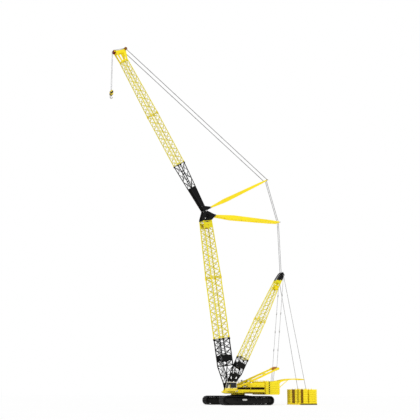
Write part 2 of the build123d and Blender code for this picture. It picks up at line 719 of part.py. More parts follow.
CAB_MID_Y = (CAB_INNER + CAB_OUTER) / 2
with BuildPart() as cab_mount:
    for y in (CAB_MID_Y - 60, CAB_MID_Y + 60):
        corners = (
            (CAB_HINGE_X - CAB_EAR_RADIUS, DECK_TOP), (CAB_HINGE_X + CAB_EAR_RADIUS, DECK_TOP),
            (CAB_HINGE_X + CAB_EAR_RADIUS, CAB_HINGE_Z), (CAB_HINGE_X - CAB_EAR_RADIUS, CAB_HINGE_Z),
        )
        boss = ((CAB_HINGE_X, CAB_HINGE_Z, CAB_EAR_RADIUS),)
        add(side_plate(WORLD, y, FLANGE_WIDTH, corners, boss, ()))
    hinge = Vector(CAB_HINGE_X, CAB_MID_Y, CAB_HINGE_Z)
    add(tube(hinge - Vector(0, 66, 0), hinge + Vector(0, 66, 0), CAB_HINGE_RADIUS))
    with Locations((CAB_FRONT - 50, CAB_MID_Y - 40, DECK_TOP)):
        Box(40, 80, CAB_FLOOR - DECK_TOP - SEAT_GAP, align=MIN_Z)
finish(cab_mount, "cab_mount")

with BuildPart() as foot_pins:
    for side in (1, -1):
        foot_pin = Vector(FOOT_PIN_X, 0, FOOT_PIN_Z)
        gantry_pin = Vector(GANTRY_FOOT_X, 0, GANTRY_FOOT_Z)
        inner, outer = Vector(0, side * FOOT_PIN_INNER, 0), Vector(0, side * FOOT_PIN_OUTER, 0)
        add(tube(foot_pin + inner, foot_pin + outer, FOOT_PIN_RADIUS))
        inner, outer = Vector(0, side * (GANTRY_LEG_Y - 32), 0), Vector(0, side * (GANTRY_LEG_Y + 32), 0)
        add(tube(gantry_pin + inner, gantry_pin + outer, GANTRY_PIN_RADIUS))
finish(foot_pins, "foot_pins")

for x, name in ((HOIST_WINCH_X, "hoist_winch"), (LUFFING_WINCH_X, "luffing_winch")):
    with BuildPart() as winch:
        axis_z = DECK_TOP + WINCH_FLANGE + WINCH_LIFT
        bearing_y = WINCH_HALF + WINCH_PLATE / 2
        add(drum(Vector(x, 0, axis_z), WINCH_HALF, WINCH_RADIUS, WINCH_FLANGE, bearing_y))
        for side in (1, -1):
            corners = (
                (x - WINCH_FOOT_HALF, DECK_TOP), (x + WINCH_FOOT_HALF, DECK_TOP),
                (x + WINCH_BEARING, axis_z), (x - WINCH_BEARING, axis_z),
            )
            add(side_plate(WORLD, side * bearing_y, WINCH_PLATE, corners, ((x, axis_z, WINCH_BEARING),), ()))
    finish(winch, name)

HOUSE_MID_X = (HOUSE_FRONT + HOUSE_REAR) / 2
HOUSE_MID_Y = (HOUSE_INNER + WING_HALF_WIDTH) / 2
for side, name in ((1, "machinery_house_left"), (-1, "machinery_house_right")):
    length, width = HOUSE_FRONT - HOUSE_REAR, WING_HALF_WIDTH - HOUSE_INNER
    with BuildPart() as house:
        with Locations((HOUSE_MID_X, side * HOUSE_MID_Y, DECK_TOP)):
            Box(length, width, HOUSE_TOP - DECK_TOP, align=MIN_Z)
        fillet(house.edges().filter_by(Axis.X).group_by(Axis.Z)[-1], HOUSE_EDGE)
        offset(amount=-HOUSE_WALL, openings=house.faces().sort_by(Axis.Z)[0])
        with Locations((HOUSE_MID_X, side * WING_HALF_WIDTH, DECK_TOP + GRILLE_LIFT)):
            with GridLocations(GRILLE_PITCH, 1, GRILLE_COUNT, 1):
                Box(GRILLE_LENGTH, 4 * HOUSE_WALL, GRILLE_HEIGHT, mode=Mode.SUBTRACT)
    finish(house, name)

with BuildPart() as engine:
    with Locations((HOUSE_MID_X, -HOUSE_MID_Y, DECK_TOP)):
        Box(ENGINE_LENGTH, ENGINE_WIDTH, ENGINE_HEIGHT, align=MIN_Z)
finish(engine, "engine")

WEIGHT_MID_X = (WEIGHT_FRONT + WEIGHT_REAR) / 2
WEIGHT_LENGTH = WEIGHT_FRONT - WEIGHT_REAR
with BuildPart() as counterweight_carrier:
    with BuildSketch(Plane.XY.offset(WEIGHT_BOTTOM)) as outline:
        with Locations((WEIGHT_MID_X, 0)):
            Rectangle(WEIGHT_LENGTH, 2 * WEIGHT_OUTER)
        chamfer(outline.vertices(), CARRIER_CORNER)
    extrude(amount=DECK_BOTTOM - WEIGHT_BOTTOM)
finish(counterweight_carrier, "counterweight_carrier")

for side, name in ((1, "counterweight_left"), (-1, "counterweight_right")):
    with BuildPart() as weight:
        weight_y = side * (WEIGHT_INNER + WEIGHT_OUTER) / 2
        width = WEIGHT_OUTER - WEIGHT_INNER
        slabs = (WEIGHT_LENGTH, width, WEIGHT_SLABS, WEIGHT_NOTCH_WIDTH, WEIGHT_NOTCH_X)
        add(slab_stack(WEIGHT_MID_X, weight_y, DECK_BOTTOM, WEIGHT_TOP, *slabs))
    finish(weight, name)

with BuildPart() as gantry_lower_block:
    axis_z = LOWER_SHEAVE_TOP - LOWER_SHEAVE
    block = Vector(LOWER_BLOCK_X, 0, axis_z)
    add(tube(block - Vector(0, LOWER_BLOCK_HALF, 0), block + Vector(0, LOWER_BLOCK_HALF, 0), LOWER_SHEAVE))
    for side in (1, -1):
        corners = (
            (LOWER_BLOCK_X - LOWER_SHEAVE, DECK_TOP), (LOWER_BLOCK_X + LOWER_SHEAVE, DECK_TOP),
            (LOWER_BLOCK_X + LOWER_SHEAVE, axis_z), (LOWER_BLOCK_X - LOWER_SHEAVE, axis_z),
        )
        boss = ((LOWER_BLOCK_X, axis_z, LOWER_SHEAVE),)
        add(side_plate(WORLD, side * LOWER_BLOCK_HALF, FLANGE_WIDTH, corners, boss, ()))
    with Locations((LOWER_BLOCK_X, 0, DECK_TOP)):
        Box(FLANGE_WIDTH, 2 * LOWER_BLOCK_HALF, axis_z - DECK_TOP - 1.6 * LOWER_SHEAVE, align=MIN_Z)
finish(gantry_lower_block, "gantry_lower_block")

# Ballast on its tray, and the frame that guides it
TRAY_MID_X = (TRAY_FRONT + TRAY_REAR) / 2
TRAY_LENGTH = TRAY_FRONT - TRAY_REAR
with BuildPart() as ballast_tray:
    with BuildSketch(side_plane(WORLD, 0)) as outline:
        with Locations((TRAY_MID_X, TRAY_TOP / 2)):
            Rectangle(TRAY_LENGTH, TRAY_TOP)
        chamfer(outline.vertices().group_by(Axis.Z)[0], TRAY_TOP / 3)
    extrude(amount=TRAY_HALF_WIDTH, both=True)
    with Locations((TRAY_MID_X, 0, 0)):
        with GridLocations(1, 2 * YOKE_Y, 1, 2):
            Box(BALLAST_GAP - 10, BALLAST_GAP - 10, YOKE_TOP, align=MIN_Z)
finish(ballast_tray, "ballast_tray")

STACK_LENGTH = (TRAY_LENGTH - BALLAST_GAP) / 2
STACK_WIDTH = (2 * TRAY_HALF_WIDTH - BALLAST_GAP) / 2
with BuildPart() as ballast_blocks:
    for sx, sy in CORNERS:
        x = TRAY_MID_X + sx * (STACK_LENGTH + BALLAST_GAP) / 2
        y = sy * (STACK_WIDTH + BALLAST_GAP) / 2
        slabs = (STACK_LENGTH, STACK_WIDTH, BALLAST_SLABS, NOTCH_WIDTH)
        add(slab_stack(x, y, TRAY_TOP, BALLAST_TOP, *slabs))
finish(ballast_blocks, "ballast_blocks")

with BuildPart() as ballast_guide_frame:
    slopes = ((-1, 0.45), (-1, -0.1))
    for side in (1, -1):
        with BuildSketch(side_plane(WORLD, side * GUIDE_Y)):
            with BuildLine():
                upper = Spline(
                    (DECK_REAR, GUIDE_ROOT_TOP), (GUIDE_MID_X, GUIDE_MID_TOP), (GUIDE_END_X, GUIDE_END_TOP),
                    tangents=slopes,
                )
                lower = Spline(
                    (DECK_REAR, GUIDE_ROOT_BOTTOM), (GUIDE_MID_X, GUIDE_MID_BOTTOM),
                    (GUIDE_END_X, GUIDE_END_BOTTOM), tangents=slopes,
                )
                Line(upper @ 0, lower @ 0)
                Line(upper @ 1, lower @ 1)
            make_face()
        extrude(amount=GUIDE_PLATE, both=True)
        brace_foot = Vector(DECK_REAR - GUIDE_PLATE / 2, side * GUIDE_Y, GUIDE_BRACE_Z)
        brace_top = Vector(GUIDE_MID_X, side * GUIDE_Y, GUIDE_MID_BOTTOM + GUIDE_BRACE / 2)
        add(bar(brace_foot, brace_top, GUIDE_BRACE))
    for x in (GUIDE_MID_X, GUIDE_END_X + GUIDE_PLATE):
        tie = Vector(x, 0, (GUIDE_END_TOP + GUIDE_END_BOTTOM) / 2)
        add(tube(tie - Vector(0, GUIDE_Y, 0), tie + Vector(0, GUIDE_Y, 0), GUIDE_TIE_RADIUS))
    with Locations((DECK_REAR - GUIDE_PLATE / 2, 0, DECK_BOTTOM + 10)):
        root_height = GUIDE_ROOT_TOP - DECK_BOTTOM - 5
        Box(GUIDE_PLATE, 2 * GUIDE_Y + 2 * GUIDE_PLATE, root_height, align=MIN_Z)
finish(ballast_guide_frame, "ballast_guide_frame")

# Cab
CAB_HALF = (CAB_OUTER - CAB_INNER) / 2
SILL_Z = CAB_FLOOR + CAB_SILL
SCREEN_TOP = CAB_ROOF - CAB_HEADER
WINDOW_X = CAB_REAR + 98
WINDOW_Z = CAB_FLOOR + WINDOW_LIFT
REAR_WINDOW_X = CAB_REAR + CAB_REAR_LEAN * WINDOW_LIFT / (CAB_ROOF - CAB_FLOOR) + CAB_WALL / 2
DOOR_MID = DOOR_REAR + DOOR_LENGTH / 2
DOOR_MID_Z = CAB_FLOOR + DOOR_LIFT
DOOR_HINGE_Y = DOOR_HINGE_RADIUS + 0.5
LEAF_LENGTH = 20 - 2 * SEAT_GAP
DOOR_WINDOW = (DOOR_LENGTH - 2 * DOOR_FRAME, DOOR_WINDOW_HEIGHT)


def cab_outline(inset):
    """Side view of the cab, drawn in by the inset."""
    return (
        (CAB_REAR + inset, CAB_FLOOR + inset), (CAB_FRONT - inset, CAB_FLOOR + inset),
        (CAB_FRONT - inset, SILL_Z), (CAB_FRONT - CAB_LEAN - inset, CAB_ROOF - inset),
        (CAB_REAR + CAB_REAR_LEAN + inset, CAB_ROOF - inset),
    )


def screen_x(z):
    """Front face of the windscreen at a height."""
    return CAB_FRONT - CAB_LEAN * (z - SILL_Z) / (CAB_ROOF - SILL_Z)


def hinge_knuckle(x, z):
    """Hinge barrel on the door's axis with the leaf that carries it, whose middle is at x."""
    barrel = Vector(DOOR_REAR, CAB_OUTER + DOOR_HINGE_Y, z)
    with BuildPart() as knuckle:
        with Locations((x, CAB_OUTER + DOOR_HINGE_Y / 2, z)):
            Box(LEAF_LENGTH, DOOR_HINGE_Y, 2 * HINGE_HALF)
        add(tube(barrel - Vector(0, 0, HINGE_HALF), barrel + Vector(0, 0, HINGE_HALF), DOOR_HINGE_RADIUS))
    return knuckle.part


with BuildPart() as cab_shell:
    with BuildSketch(side_plane(WORLD, CAB_MID_Y)):
        with BuildLine():
            FilletPolyline(*cab_outline(0), radius=CAB_CORNER, close=True)
        make_face()
    extrude(amount=CAB_HALF, both=True)
    with BuildSketch(side_plane(WORLD, CAB_MID_Y)):
        with BuildLine():
            FilletPolyline(*cab_outline(CAB_WALL), radius=CAB_CORNER - CAB_WALL, close=True)
        make_face()
    extrude(amount=CAB_HALF - CAB_WALL, both=True, mode=Mode.SUBTRACT)
    with Locations((CAB_FRONT, CAB_MID_Y, (SILL_Z + SCREEN_TOP) / 2)):
        Box(3 * CAB_LEAN, 2 * (CAB_HALF - SCREEN_MARGIN), SCREEN_TOP - SILL_Z, mode=Mode.SUBTRACT)
    with Locations((REAR_WINDOW_X, CAB_MID_Y, WINDOW_Z)):
        Box(3 * CAB_WALL, REAR_WINDOW_WIDTH, REAR_WINDOW_HEIGHT, mode=Mode.SUBTRACT)
    with BuildSketch(side_plane(WORLD, CAB_INNER)):
        with Locations((WINDOW_X, WINDOW_Z)):
            RectangleRounded(WINDOW_LENGTH, WINDOW_HEIGHT, WINDOW_CORNER)
    extrude(amount=2 * CAB_WALL, both=True, mode=Mode.SUBTRACT)
    with Locations((DOOR_MID, CAB_OUTER, DOOR_MID_Z)):
        Box(DOOR_LENGTH + 2 * DOOR_GAP, 4 * CAB_WALL, DOOR_HEIGHT + 2 * DOOR_GAP, mode=Mode.SUBTRACT)
    for y in (CAB_MID_Y - 45, CAB_MID_Y + 45):
        corners = (
            (CAB_HINGE_X, CAB_HINGE_Z - CAB_EAR_RADIUS), (CAB_REAR + 4, CAB_HINGE_Z - CAB_EAR_RADIUS),
            (CAB_REAR + 4, CAB_HINGE_Z + CAB_EAR_RADIUS), (CAB_HINGE_X, CAB_HINGE_Z + CAB_EAR_RADIUS),
        )
        boss = ((CAB_HINGE_X, CAB_HINGE_Z, CAB_EAR_RADIUS),)
        bore = ((CAB_HINGE_X, CAB_HINGE_Z, CAB_HINGE_RADIUS + PIN_CLEARANCE),)
        add(side_plate(WORLD, y, FLANGE_WIDTH, corners, boss, bore))
    add(hinge_knuckle(DOOR_REAR - 10, DOOR_MID_Z))
finish(cab_shell, "cab_shell")

with BuildPart() as cab_door:
    with BuildSketch(side_plane(WORLD, CAB_OUTER - CAB_WALL / 2)):
        with Locations((DOOR_MID, DOOR_MID_Z)):
            Rectangle(DOOR_LENGTH, DOOR_HEIGHT)
        with Locations((DOOR_MID, WINDOW_Z)):
            RectangleRounded(*DOOR_WINDOW, WINDOW_CORNER, mode=Mode.SUBTRACT)
    extrude(amount=CAB_WALL / 2, both=True)
    for z in (DOOR_MID_Z - 40, DOOR_MID_Z + 40):
        add(hinge_knuckle(DOOR_REAR + 10, z))
finish(cab_door, "cab_door")

with BuildPart() as cab_door_glass:
    with BuildSketch(side_plane(WORLD, CAB_OUTER - CAB_WALL / 2)):
        with Locations((DOOR_MID, WINDOW_Z)):
            RectangleRounded(*DOOR_WINDOW, WINDOW_CORNER)
    extrude(amount=GLASS / 2, both=True)
finish(cab_door_glass, "cab_door_glass")

with BuildPart() as cab_glass:
    with BuildSketch(side_plane(WORLD, CAB_INNER + CAB_WALL / 2)):
        with Locations((WINDOW_X, WINDOW_Z)):
            RectangleRounded(WINDOW_LENGTH, WINDOW_HEIGHT, WINDOW_CORNER)
    extrude(amount=GLASS / 2, both=True)
    with Locations((REAR_WINDOW_X, CAB_MID_Y, WINDOW_Z)):
        Box(GLASS, REAR_WINDOW_WIDTH, REAR_WINDOW_HEIGHT)
    with BuildSketch(side_plane(WORLD, CAB_MID_Y)):
        with BuildLine():
            Polyline(
                (screen_x(SILL_Z) - 4, SILL_Z), (screen_x(SCREEN_TOP) - 4, SCREEN_TOP),
                (screen_x(SCREEN_TOP) - 4 - GLASS, SCREEN_TOP), (screen_x(SILL_Z) - 4 - GLASS, SILL_Z),
                close=True,
            )
        make_face()
    extrude(amount=CAB_HALF - SCREEN_MARGIN, both=True)
finish(cab_glass, "cab_glass")

with BuildPart() as operator_seat:
    seat_x, seat_z = CAB_REAR + 72, CAB_FLOOR + CAB_WALL
    with Locations((seat_x, CAB_MID_Y, seat_z)):
        Cylinder(18, 42, align=MIN_Z)
    with BuildSketch(side_plane(WORLD, CAB_MID_Y)):
        with BuildLine():
            FilletPolyline(
                (seat_x - 28, seat_z + 40), (seat_x + 28, seat_z + 40), (seat_x + 28, seat_z + 54),
                (seat_x - 16, seat_z + 54), (seat_x - 24, seat_z + 116), (seat_x - 36, seat_z + 116),
                radius=4, close=True,
            )
        make_face()
    extrude(amount=28, both=True)
finish(operator_seat, "operator_seat")

# Derrick mast
DERRICK_BOX = (DERRICK_HALF_DEPTH, DERRICK_HALF_WIDTH)
DERRICK_TOP_BOX = (DERRICK_TOP_HALF, DERRICK_TOP_HALF)
DERRICK_WINCH_Z = DERRICK_WINCH_SHARE * DERRICK_FOOT_END
derrick_members = (DERRICK_CHORD_RADIUS, DERRICK_LACE)
with BuildPart() as derrick_foot:
    boxes = (DERRICK_BOX, DERRICK_BOX)
    add(lattice(DERRICK, DERRICK_FOOT_KNEE, DERRICK_FOOT_END, *boxes, DERRICK_BAYS[0], *derrick_members))
    trim_ends(DERRICK, 0, DERRICK_FOOT_END)
    add(legs(DERRICK, DERRICK_LUG_Y, 80, DERRICK_FOOT_KNEE, 16, DERRICK_HALF_DEPTH, DERRICK_CHORD_RADIUS))
    tie_x = mix(16, DERRICK_HALF_DEPTH, 0.65)
    tie_z = mix(80, DERRICK_FOOT_KNEE, 0.65)
    add([cross_tube(DERRICK, x, tie_z, DERRICK_LUG_Y, DERRICK_LACE) for x in (-tie_x, tie_x)])
    web_top = DERRICK_FOOT_KNEE - 20
    web = (30, web_top, DERRICK_HALF_DEPTH - 8, ((0, 0.46 * web_top, 20), (0, 0.74 * web_top, 34)))
    add(leg_plates(DERRICK, DERRICK_LUG_Y, DERRICK_LUG_THICKNESS, FOOT_PIN_RADIUS, *web))
    add(winch_bearings(DERRICK, DERRICK_HALF_WIDTH, DERRICK_HALF_DEPTH, DERRICK_WINCH_Z))
    add(shaft_bore(DERRICK, DERRICK_HALF_WIDTH, DERRICK_WINCH_Z), mode=Mode.SUBTRACT)
finish(derrick_foot, "derrick_foot")

with BuildPart() as derrick_winch:
    add(drum(
        at(DERRICK, 0, 0, DERRICK_WINCH_Z), DERRICK_WINCH_HALF, DERRICK_WINCH_RADIUS, DERRICK_WINCH_FLANGE,
        DERRICK_HALF_WIDTH + BEARING_PLATE / 2,
    ))
finish(derrick_winch, "derrick_winch")

with BuildPart() as derrick_lower:
    boxes = (DERRICK_BOX, DERRICK_BOX)
    add(lattice(DERRICK, DERRICK_FOOT_END, DERRICK_MIDDLE_END, *boxes, DERRICK_BAYS[1], *derrick_members))
    trim_ends(DERRICK, DERRICK_FOOT_END, DERRICK_MIDDLE_END)
finish(derrick_lower, "derrick_lower")

with BuildPart() as derrick_upper:
    boxes = (DERRICK_BOX, DERRICK_TOP_BOX)
    add(lattice(DERRICK, DERRICK_MIDDLE_END, DERRICK_YELLOW_END, *boxes, DERRICK_BAYS[2], *derrick_members))
    trim_ends(DERRICK, DERRICK_MIDDLE_END, DERRICK_YELLOW_END)
finish(derrick_upper, "derrick_upper")

DERRICK_TOP = at(DERRICK, 0, 0, DERRICK_LENGTH)
DERRICK_BACK = at(DERRICK, -48, 0, DERRICK_LENGTH - 60)
with BuildPart() as derrick_head:
    for side in (1, -1):
        corners = (
            (-72, DERRICK_YELLOW_END), (72, DERRICK_YELLOW_END), (40, DERRICK_LENGTH),
            (0, DERRICK_LENGTH + 60), (-70, DERRICK_LENGTH + 20),
        )
        opening = ((0, mix(DERRICK_YELLOW_END, DERRICK_LENGTH, 0.38), DERRICK_TOP_HALF / 2),)
        add(side_plate(DERRICK, side * DERRICK_TOP_HALF, DERRICK_PLATE, corners, (), opening))
    add(cross_tube(DERRICK, 0, DERRICK_LENGTH, BALLAST_ROPE_Y + 10, HEAD_PIN_RADIUS))
    add(cross_tube(DERRICK, -48, DERRICK_LENGTH - 60, 110, STRUT_PIN_RADIUS))
    for y in (-30, 0, 30):
        add(sheave(DERRICK_TOP, y, DERRICK_SHEAVE, 0.75 * SHEAVE_WIDTH, 0))
finish(derrick_head, "derrick_head")

# Gantry
GANTRY_TIP = at(GANTRY, 0, 0, GANTRY_LENGTH)
with BuildPart() as gantry_frame:
    for side in (1, -1):
        waist = 0.45 * GANTRY_LENGTH
        corners = ((-18, 0), (18, 0), (22, waist), (18, GANTRY_LENGTH), (-18, GANTRY_LENGTH), (-22, waist))
        bosses = ((0, 0, 22), (0, GANTRY_LENGTH, 30))
        bore = ((0, 0, GANTRY_PIN_RADIUS + PIN_CLEARANCE),)
        add(side_plate(GANTRY, side * GANTRY_LEG_Y, GANTRY_LEG_THICKNESS, corners, bosses, bore))
    for share in (0.38, 0.72):
        add(cross_tube(GANTRY, 0, share * GANTRY_LENGTH, GANTRY_LEG_Y, 14))
    add(cross_tube(GANTRY, 0, GANTRY_LENGTH, GANTRY_LEG_Y, HEAD_PIN_RADIUS))
finish(gantry_frame, "gantry_frame")

with BuildPart() as gantry_sheaves:
    for y in GANTRY_SHEAVE_YS:
        add(sheave(GANTRY_TIP, y, GANTRY_SHEAVE, SHEAVE_WIDTH, HEAD_PIN_RADIUS + SEAT_GAP))
finish(gantry_sheaves, "gantry_sheaves")

# Main boom
BOOM_BOX = (BOOM_HALF_DEPTH, BOOM_HALF_WIDTH)
BOOM_TOP_BOX = (BOOM_TOP_HALF_DEPTH, BOOM_TOP_HALF_WIDTH)
BOOM_WINCH_Z = BOOM_WINCH_SHARE * BOOM_FOOT_END
boom_members = (BOOM_CHORD_RADIUS, BOOM_LACE)
with BuildPart() as boom_foot:
    add(lattice(BOOM, BOOM_FOOT_KNEE, BOOM_FOOT_END, BOOM_BOX, BOOM_BOX, BOOM_BAYS[0], *boom_members))
    trim_ends(BOOM, 0, BOOM_FOOT_END)
    add(legs(BOOM, BOOM_LUG_Y, 90, BOOM_FOOT_KNEE, 20, BOOM_HALF_DEPTH, BOOM_CHORD_RADIUS))
    tie_x = mix(20, BOOM_HALF_DEPTH, 0.56)
    tie_z = mix(90, BOOM_FOOT_KNEE, 0.56)
    add([cross_tube(BOOM, x, tie_z, BOOM_LUG_Y, BOOM_LACE) for x in (-tie_x, tie_x)])
    add(leg_plates(BOOM, BOOM_LUG_Y, BOOM_LUG_THICKNESS, FOOT_PIN_RADIUS, 32, 150, 44))
    add(winch_bearings(BOOM, BOOM_HALF_WIDTH, BOOM_HALF_DEPTH, BOOM_WINCH_Z))
    add(shaft_bore(BOOM, BOOM_HALF_WIDTH, BOOM_WINCH_Z), mode=Mode.SUBTRACT)
finish(boom_foot, "boom_foot")

with BuildPart() as boom_winch:
    add(drum(
        at(BOOM, 0, 0, BOOM_WINCH_Z), BOOM_WINCH_HALF, BOOM_WINCH_RADIUS, BOOM_WINCH_FLANGE,
        BOOM_HALF_WIDTH + BEARING_PLATE / 2,
    ))
finish(boom_winch, "boom_winch")

with BuildPart() as boom_lower:
    add(lattice(BOOM, BOOM_FOOT_END, BOOM_MIDDLE_END, BOOM_BOX, BOOM_BOX, BOOM_BAYS[1], *boom_members))
    trim_ends(BOOM, BOOM_FOOT_END, BOOM_MIDDLE_END)
finish(boom_lower, "boom_lower")

TOP_SHEAVE_Z = BOOM_YELLOW_END - BOOM_TOP_SHEAVE_DROP
top_share = (TOP_SHEAVE_Z - BOOM_MIDDLE_END) / (BOOM_YELLOW_END - BOOM_MIDDLE_END)
TOP_BEARING_Y = mix(BOOM_HALF_WIDTH, BOOM_TOP_HALF_WIDTH, top_share)
TOP_BEARING_DEPTH = mix(BOOM_HALF_DEPTH, BOOM_TOP_HALF_DEPTH, top_share)
with BuildPart() as boom_upper:
    add(lattice(BOOM, BOOM_MIDDLE_END, BOOM_YELLOW_END, BOOM_BOX, BOOM_TOP_BOX, BOOM_BAYS[2], *boom_members))
    trim_ends(BOOM, BOOM_MIDDLE_END, BOOM_YELLOW_END)
    add(winch_bearings(BOOM, TOP_BEARING_Y, TOP_BEARING_DEPTH, TOP_SHEAVE_Z))
    add(shaft_bore(BOOM, TOP_BEARING_Y, TOP_SHEAVE_Z), mode=Mode.SUBTRACT)
finish(boom_upper, "boom_upper")

with BuildPart() as boom_top_sheaves:
    add(cross_tube(BOOM, 0, TOP_SHEAVE_Z, TOP_BEARING_Y + BEARING_PLATE / 2, WINCH_SHAFT))
    for y in BOOM_TOP_SHEAVE_YS:
        add(sheave(at(BOOM, 0, 0, TOP_SHEAVE_Z), y, BOOM_TOP_SHEAVE, SHEAVE_WIDTH, 0))
finish(boom_top_sheaves, "boom_top_sheaves")

REAR_STRUT_Z = BOOM_LENGTH - REAR_STRUT_DROP
CHEEK_INNER = JIB_LUG_Y - JIB_LUG_THICKNESS / 2 - 9
CHEEK_OUTER = JIB_LUG_Y + JIB_LUG_THICKNESS / 2 + 9
HEAD_EDGE = BOOM_TOP_HALF_DEPTH + BOOM_CHORD_RADIUS
with BuildPart() as boom_head:
    for y in (CHEEK_INNER, CHEEK_OUTER, -CHEEK_INNER, -CHEEK_OUTER):
        with BuildSketch(side_plane(BOOM, y)):
            with BuildLine():
                Polyline(
                    (HEAD_EDGE, BOOM_YELLOW_END), (HEAD_EDGE, BOOM_YELLOW_END + 40), (30, BOOM_LENGTH),
                    (-30, BOOM_LENGTH), (REAR_STRUT_X - 24, REAR_STRUT_Z), (-HEAD_EDGE, BOOM_YELLOW_END),
                    close=True,
                )
            make_face()
            with Locations((0, BOOM_LENGTH)):
                Circle(30)
                Circle(JIB_PIN_RADIUS + PIN_CLEARANCE, mode=Mode.SUBTRACT)
            with Locations((REAR_STRUT_X, REAR_STRUT_Z)):
                Circle(24)
                Circle(STRUT_PIN_RADIUS + PIN_CLEARANCE, mode=Mode.SUBTRACT)
            with BuildLine():
                Polyline(
                    (60, BOOM_YELLOW_END + 40), (0, BOOM_LENGTH - 60), (-60, BOOM_LENGTH - 100),
                    (-70, BOOM_YELLOW_END + 40), close=True,
                )
            make_face(mode=Mode.SUBTRACT)
        extrude(amount=5, both=True)
    with BuildSketch(Plane(origin=at(BOOM, 0, 0, BOOM_YELLOW_END), x_dir=BOOM.x_dir, z_dir=BOOM.z_dir)):
        Rectangle(2 * HEAD_EDGE, 2 * (BOOM_TOP_HALF_WIDTH + BOOM_CHORD_RADIUS))
    extrude(amount=16)
finish(boom_head, "boom_head")


def strut_members(frame, leg_y):
    """Two tapered legs with an eye at the foot, ties between them and the head pin across their ends."""
    broad, narrow = 0.28 * STRUT_LENGTH, 0.86 * STRUT_LENGTH
    corners = (
        (-14, 0), (14, 0), (STRUT_BROAD_HALF, broad), (STRUT_NARROW_HALF, narrow), (14, STRUT_LENGTH),
        (-14, STRUT_LENGTH), (-STRUT_NARROW_HALF, narrow), (-STRUT_BROAD_HALF, broad),
    )
    bore = ((0, 0, STRUT_PIN_RADIUS + PIN_CLEARANCE),)
    members = []
    for side in (1, -1):
        leg = (side * leg_y, STRUT_LEG_THICKNESS, corners, ((0, 0, STRUT_EYE),), bore)
        members.append(side_plate(frame, *leg))
    for share in (0.18, 0.44, 0.68, 0.9):
        members.append(cross_tube(frame, 0, share * STRUT_LENGTH, leg_y, 9))
    members.append(cross_tube(frame, 0, STRUT_LENGTH, STRUT_HEAD_Y, HEAD_PIN_RADIUS))
    return members


# Struts
rear_base = at(BOOM, REAR_STRUT_X, 0, REAR_STRUT_Z)
REAR_STRUT = tilted_frame(rear_base.X, rear_base.Z, STRUT_ANGLE_REAR)
with BuildPart() as rear_strut:
    add(strut_members(REAR_STRUT, REAR_STRUT_Y))
finish(rear_strut, "rear_strut")

front_base = at(JIB, FRONT_STRUT_X, 0, FRONT_STRUT_Z)
FRONT_STRUT = tilted_frame(front_base.X, front_base.Z, STRUT_ANGLE_FRONT)
with BuildPart() as front_strut:
    add(strut_members(FRONT_STRUT, FRONT_STRUT_Y))
finish(front_strut, "front_strut")

# Luffing jib
JIB_BOX = (JIB_HALF_DEPTH, JIB_HALF_WIDTH)
JIB_TOP_BOX = (72.0, 80.0)
JIB_LEG_BOX = (60.0, 92.0)
jib_members = (JIB_CHORD_RADIUS, JIB_LACE)
with BuildPart() as jib_foot:
    add(lattice(JIB, JIB_LEG_END, JIB_FOOT_END, JIB_LEG_BOX, JIB_BOX, JIB_BAYS[0], *jib_members))
    trim_ends(JIB, 0, JIB_FOOT_END)
    for side in (1, -1):
        with BuildSketch(side_plane(JIB, side * JIB_LUG_Y)):
            with BuildLine():
                Polyline((-28, 0), (28, 0), (70, JIB_LEG_END + 10), (-70, JIB_LEG_END + 10), close=True)
            make_face()
            Circle(28)
            with BuildLine():
                Polyline(
                    (-20, -4), (-20, 120), (FRONT_STRUT_X - 10, FRONT_STRUT_Z + 20),
                    (FRONT_STRUT_X - 14, FRONT_STRUT_Z - 14), close=True,
                )
            make_face()
            Circle(JIB_PIN_RADIUS + PIN_CLEARANCE, mode=Mode.SUBTRACT)
            with Locations((FRONT_STRUT_X, FRONT_STRUT_Z)):
                Circle(STRUT_EYE)
                Circle(STRUT_PIN_RADIUS + PIN_CLEARANCE, mode=Mode.SUBTRACT)
        extrude(amount=JIB_LUG_THICKNESS / 2, both=True)
finish(jib_foot, "jib_foot")

with BuildPart() as jib_lower:
    add(lattice(JIB, JIB_FOOT_END, JIB_MIDDLE_END, JIB_BOX, JIB_BOX, JIB_BAYS[1], *jib_members))
    trim_ends(JIB, JIB_FOOT_END, JIB_MIDDLE_END)
finish(jib_lower, "jib_lower")

with BuildPart() as jib_upper:
    add(lattice(JIB, JIB_MIDDLE_END, JIB_YELLOW_END, JIB_BOX, JIB_TOP_BOX, JIB_BAYS[2], *jib_members))
    trim_ends(JIB, JIB_MIDDLE_END, JIB_YELLOW_END)
finish(jib_upper, "jib_upper")

TIP = (TIP_SHEAVE_X, JIB_LENGTH + TIP_SHEAVE_RISE)
STAY_HORN = (STAY_HORN_X, JIB_LENGTH + STAY_HORN_RISE)
with BuildPart() as jib_head:
    for side in (1, -1):
        with BuildSketch(side_plane(JIB, side * JIB_HEAD_Y)):
            with BuildLine():
                Polyline((82, JIB_YELLOW_END), TIP, STAY_HORN, (-82, JIB_YELLOW_END), close=True)
            make_face()
            with Locations(TIP, STAY_HORN):
                Circle(22)
            with Locations(TIP):
                Circle(8 + PIN_CLEARANCE, mode=Mode.SUBTRACT)
            with BuildLine():
                Polyline(
                    (52, JIB_YELLOW_END + 30), (60, JIB_LENGTH + 60), (-60, JIB_LENGTH + 40),
                    (-52, JIB_YELLOW_END + 30), close=True,
                )
            make_face(mode=Mode.SUBTRACT)
        extrude(amount=7, both=True)
    add([cross_tube(JIB, x, JIB_YELLOW_END + 14, JIB_HEAD_Y, 9) for x in (70, -70)])
    add(cross_tube(JIB, -30, JIB_LENGTH + 80, JIB_HEAD_Y, 9))
    add(cross_tube(JIB, *STAY_HORN, STRUT_HEAD_Y, HEAD_PIN_RADIUS))
finish(jib_head, "jib_head")

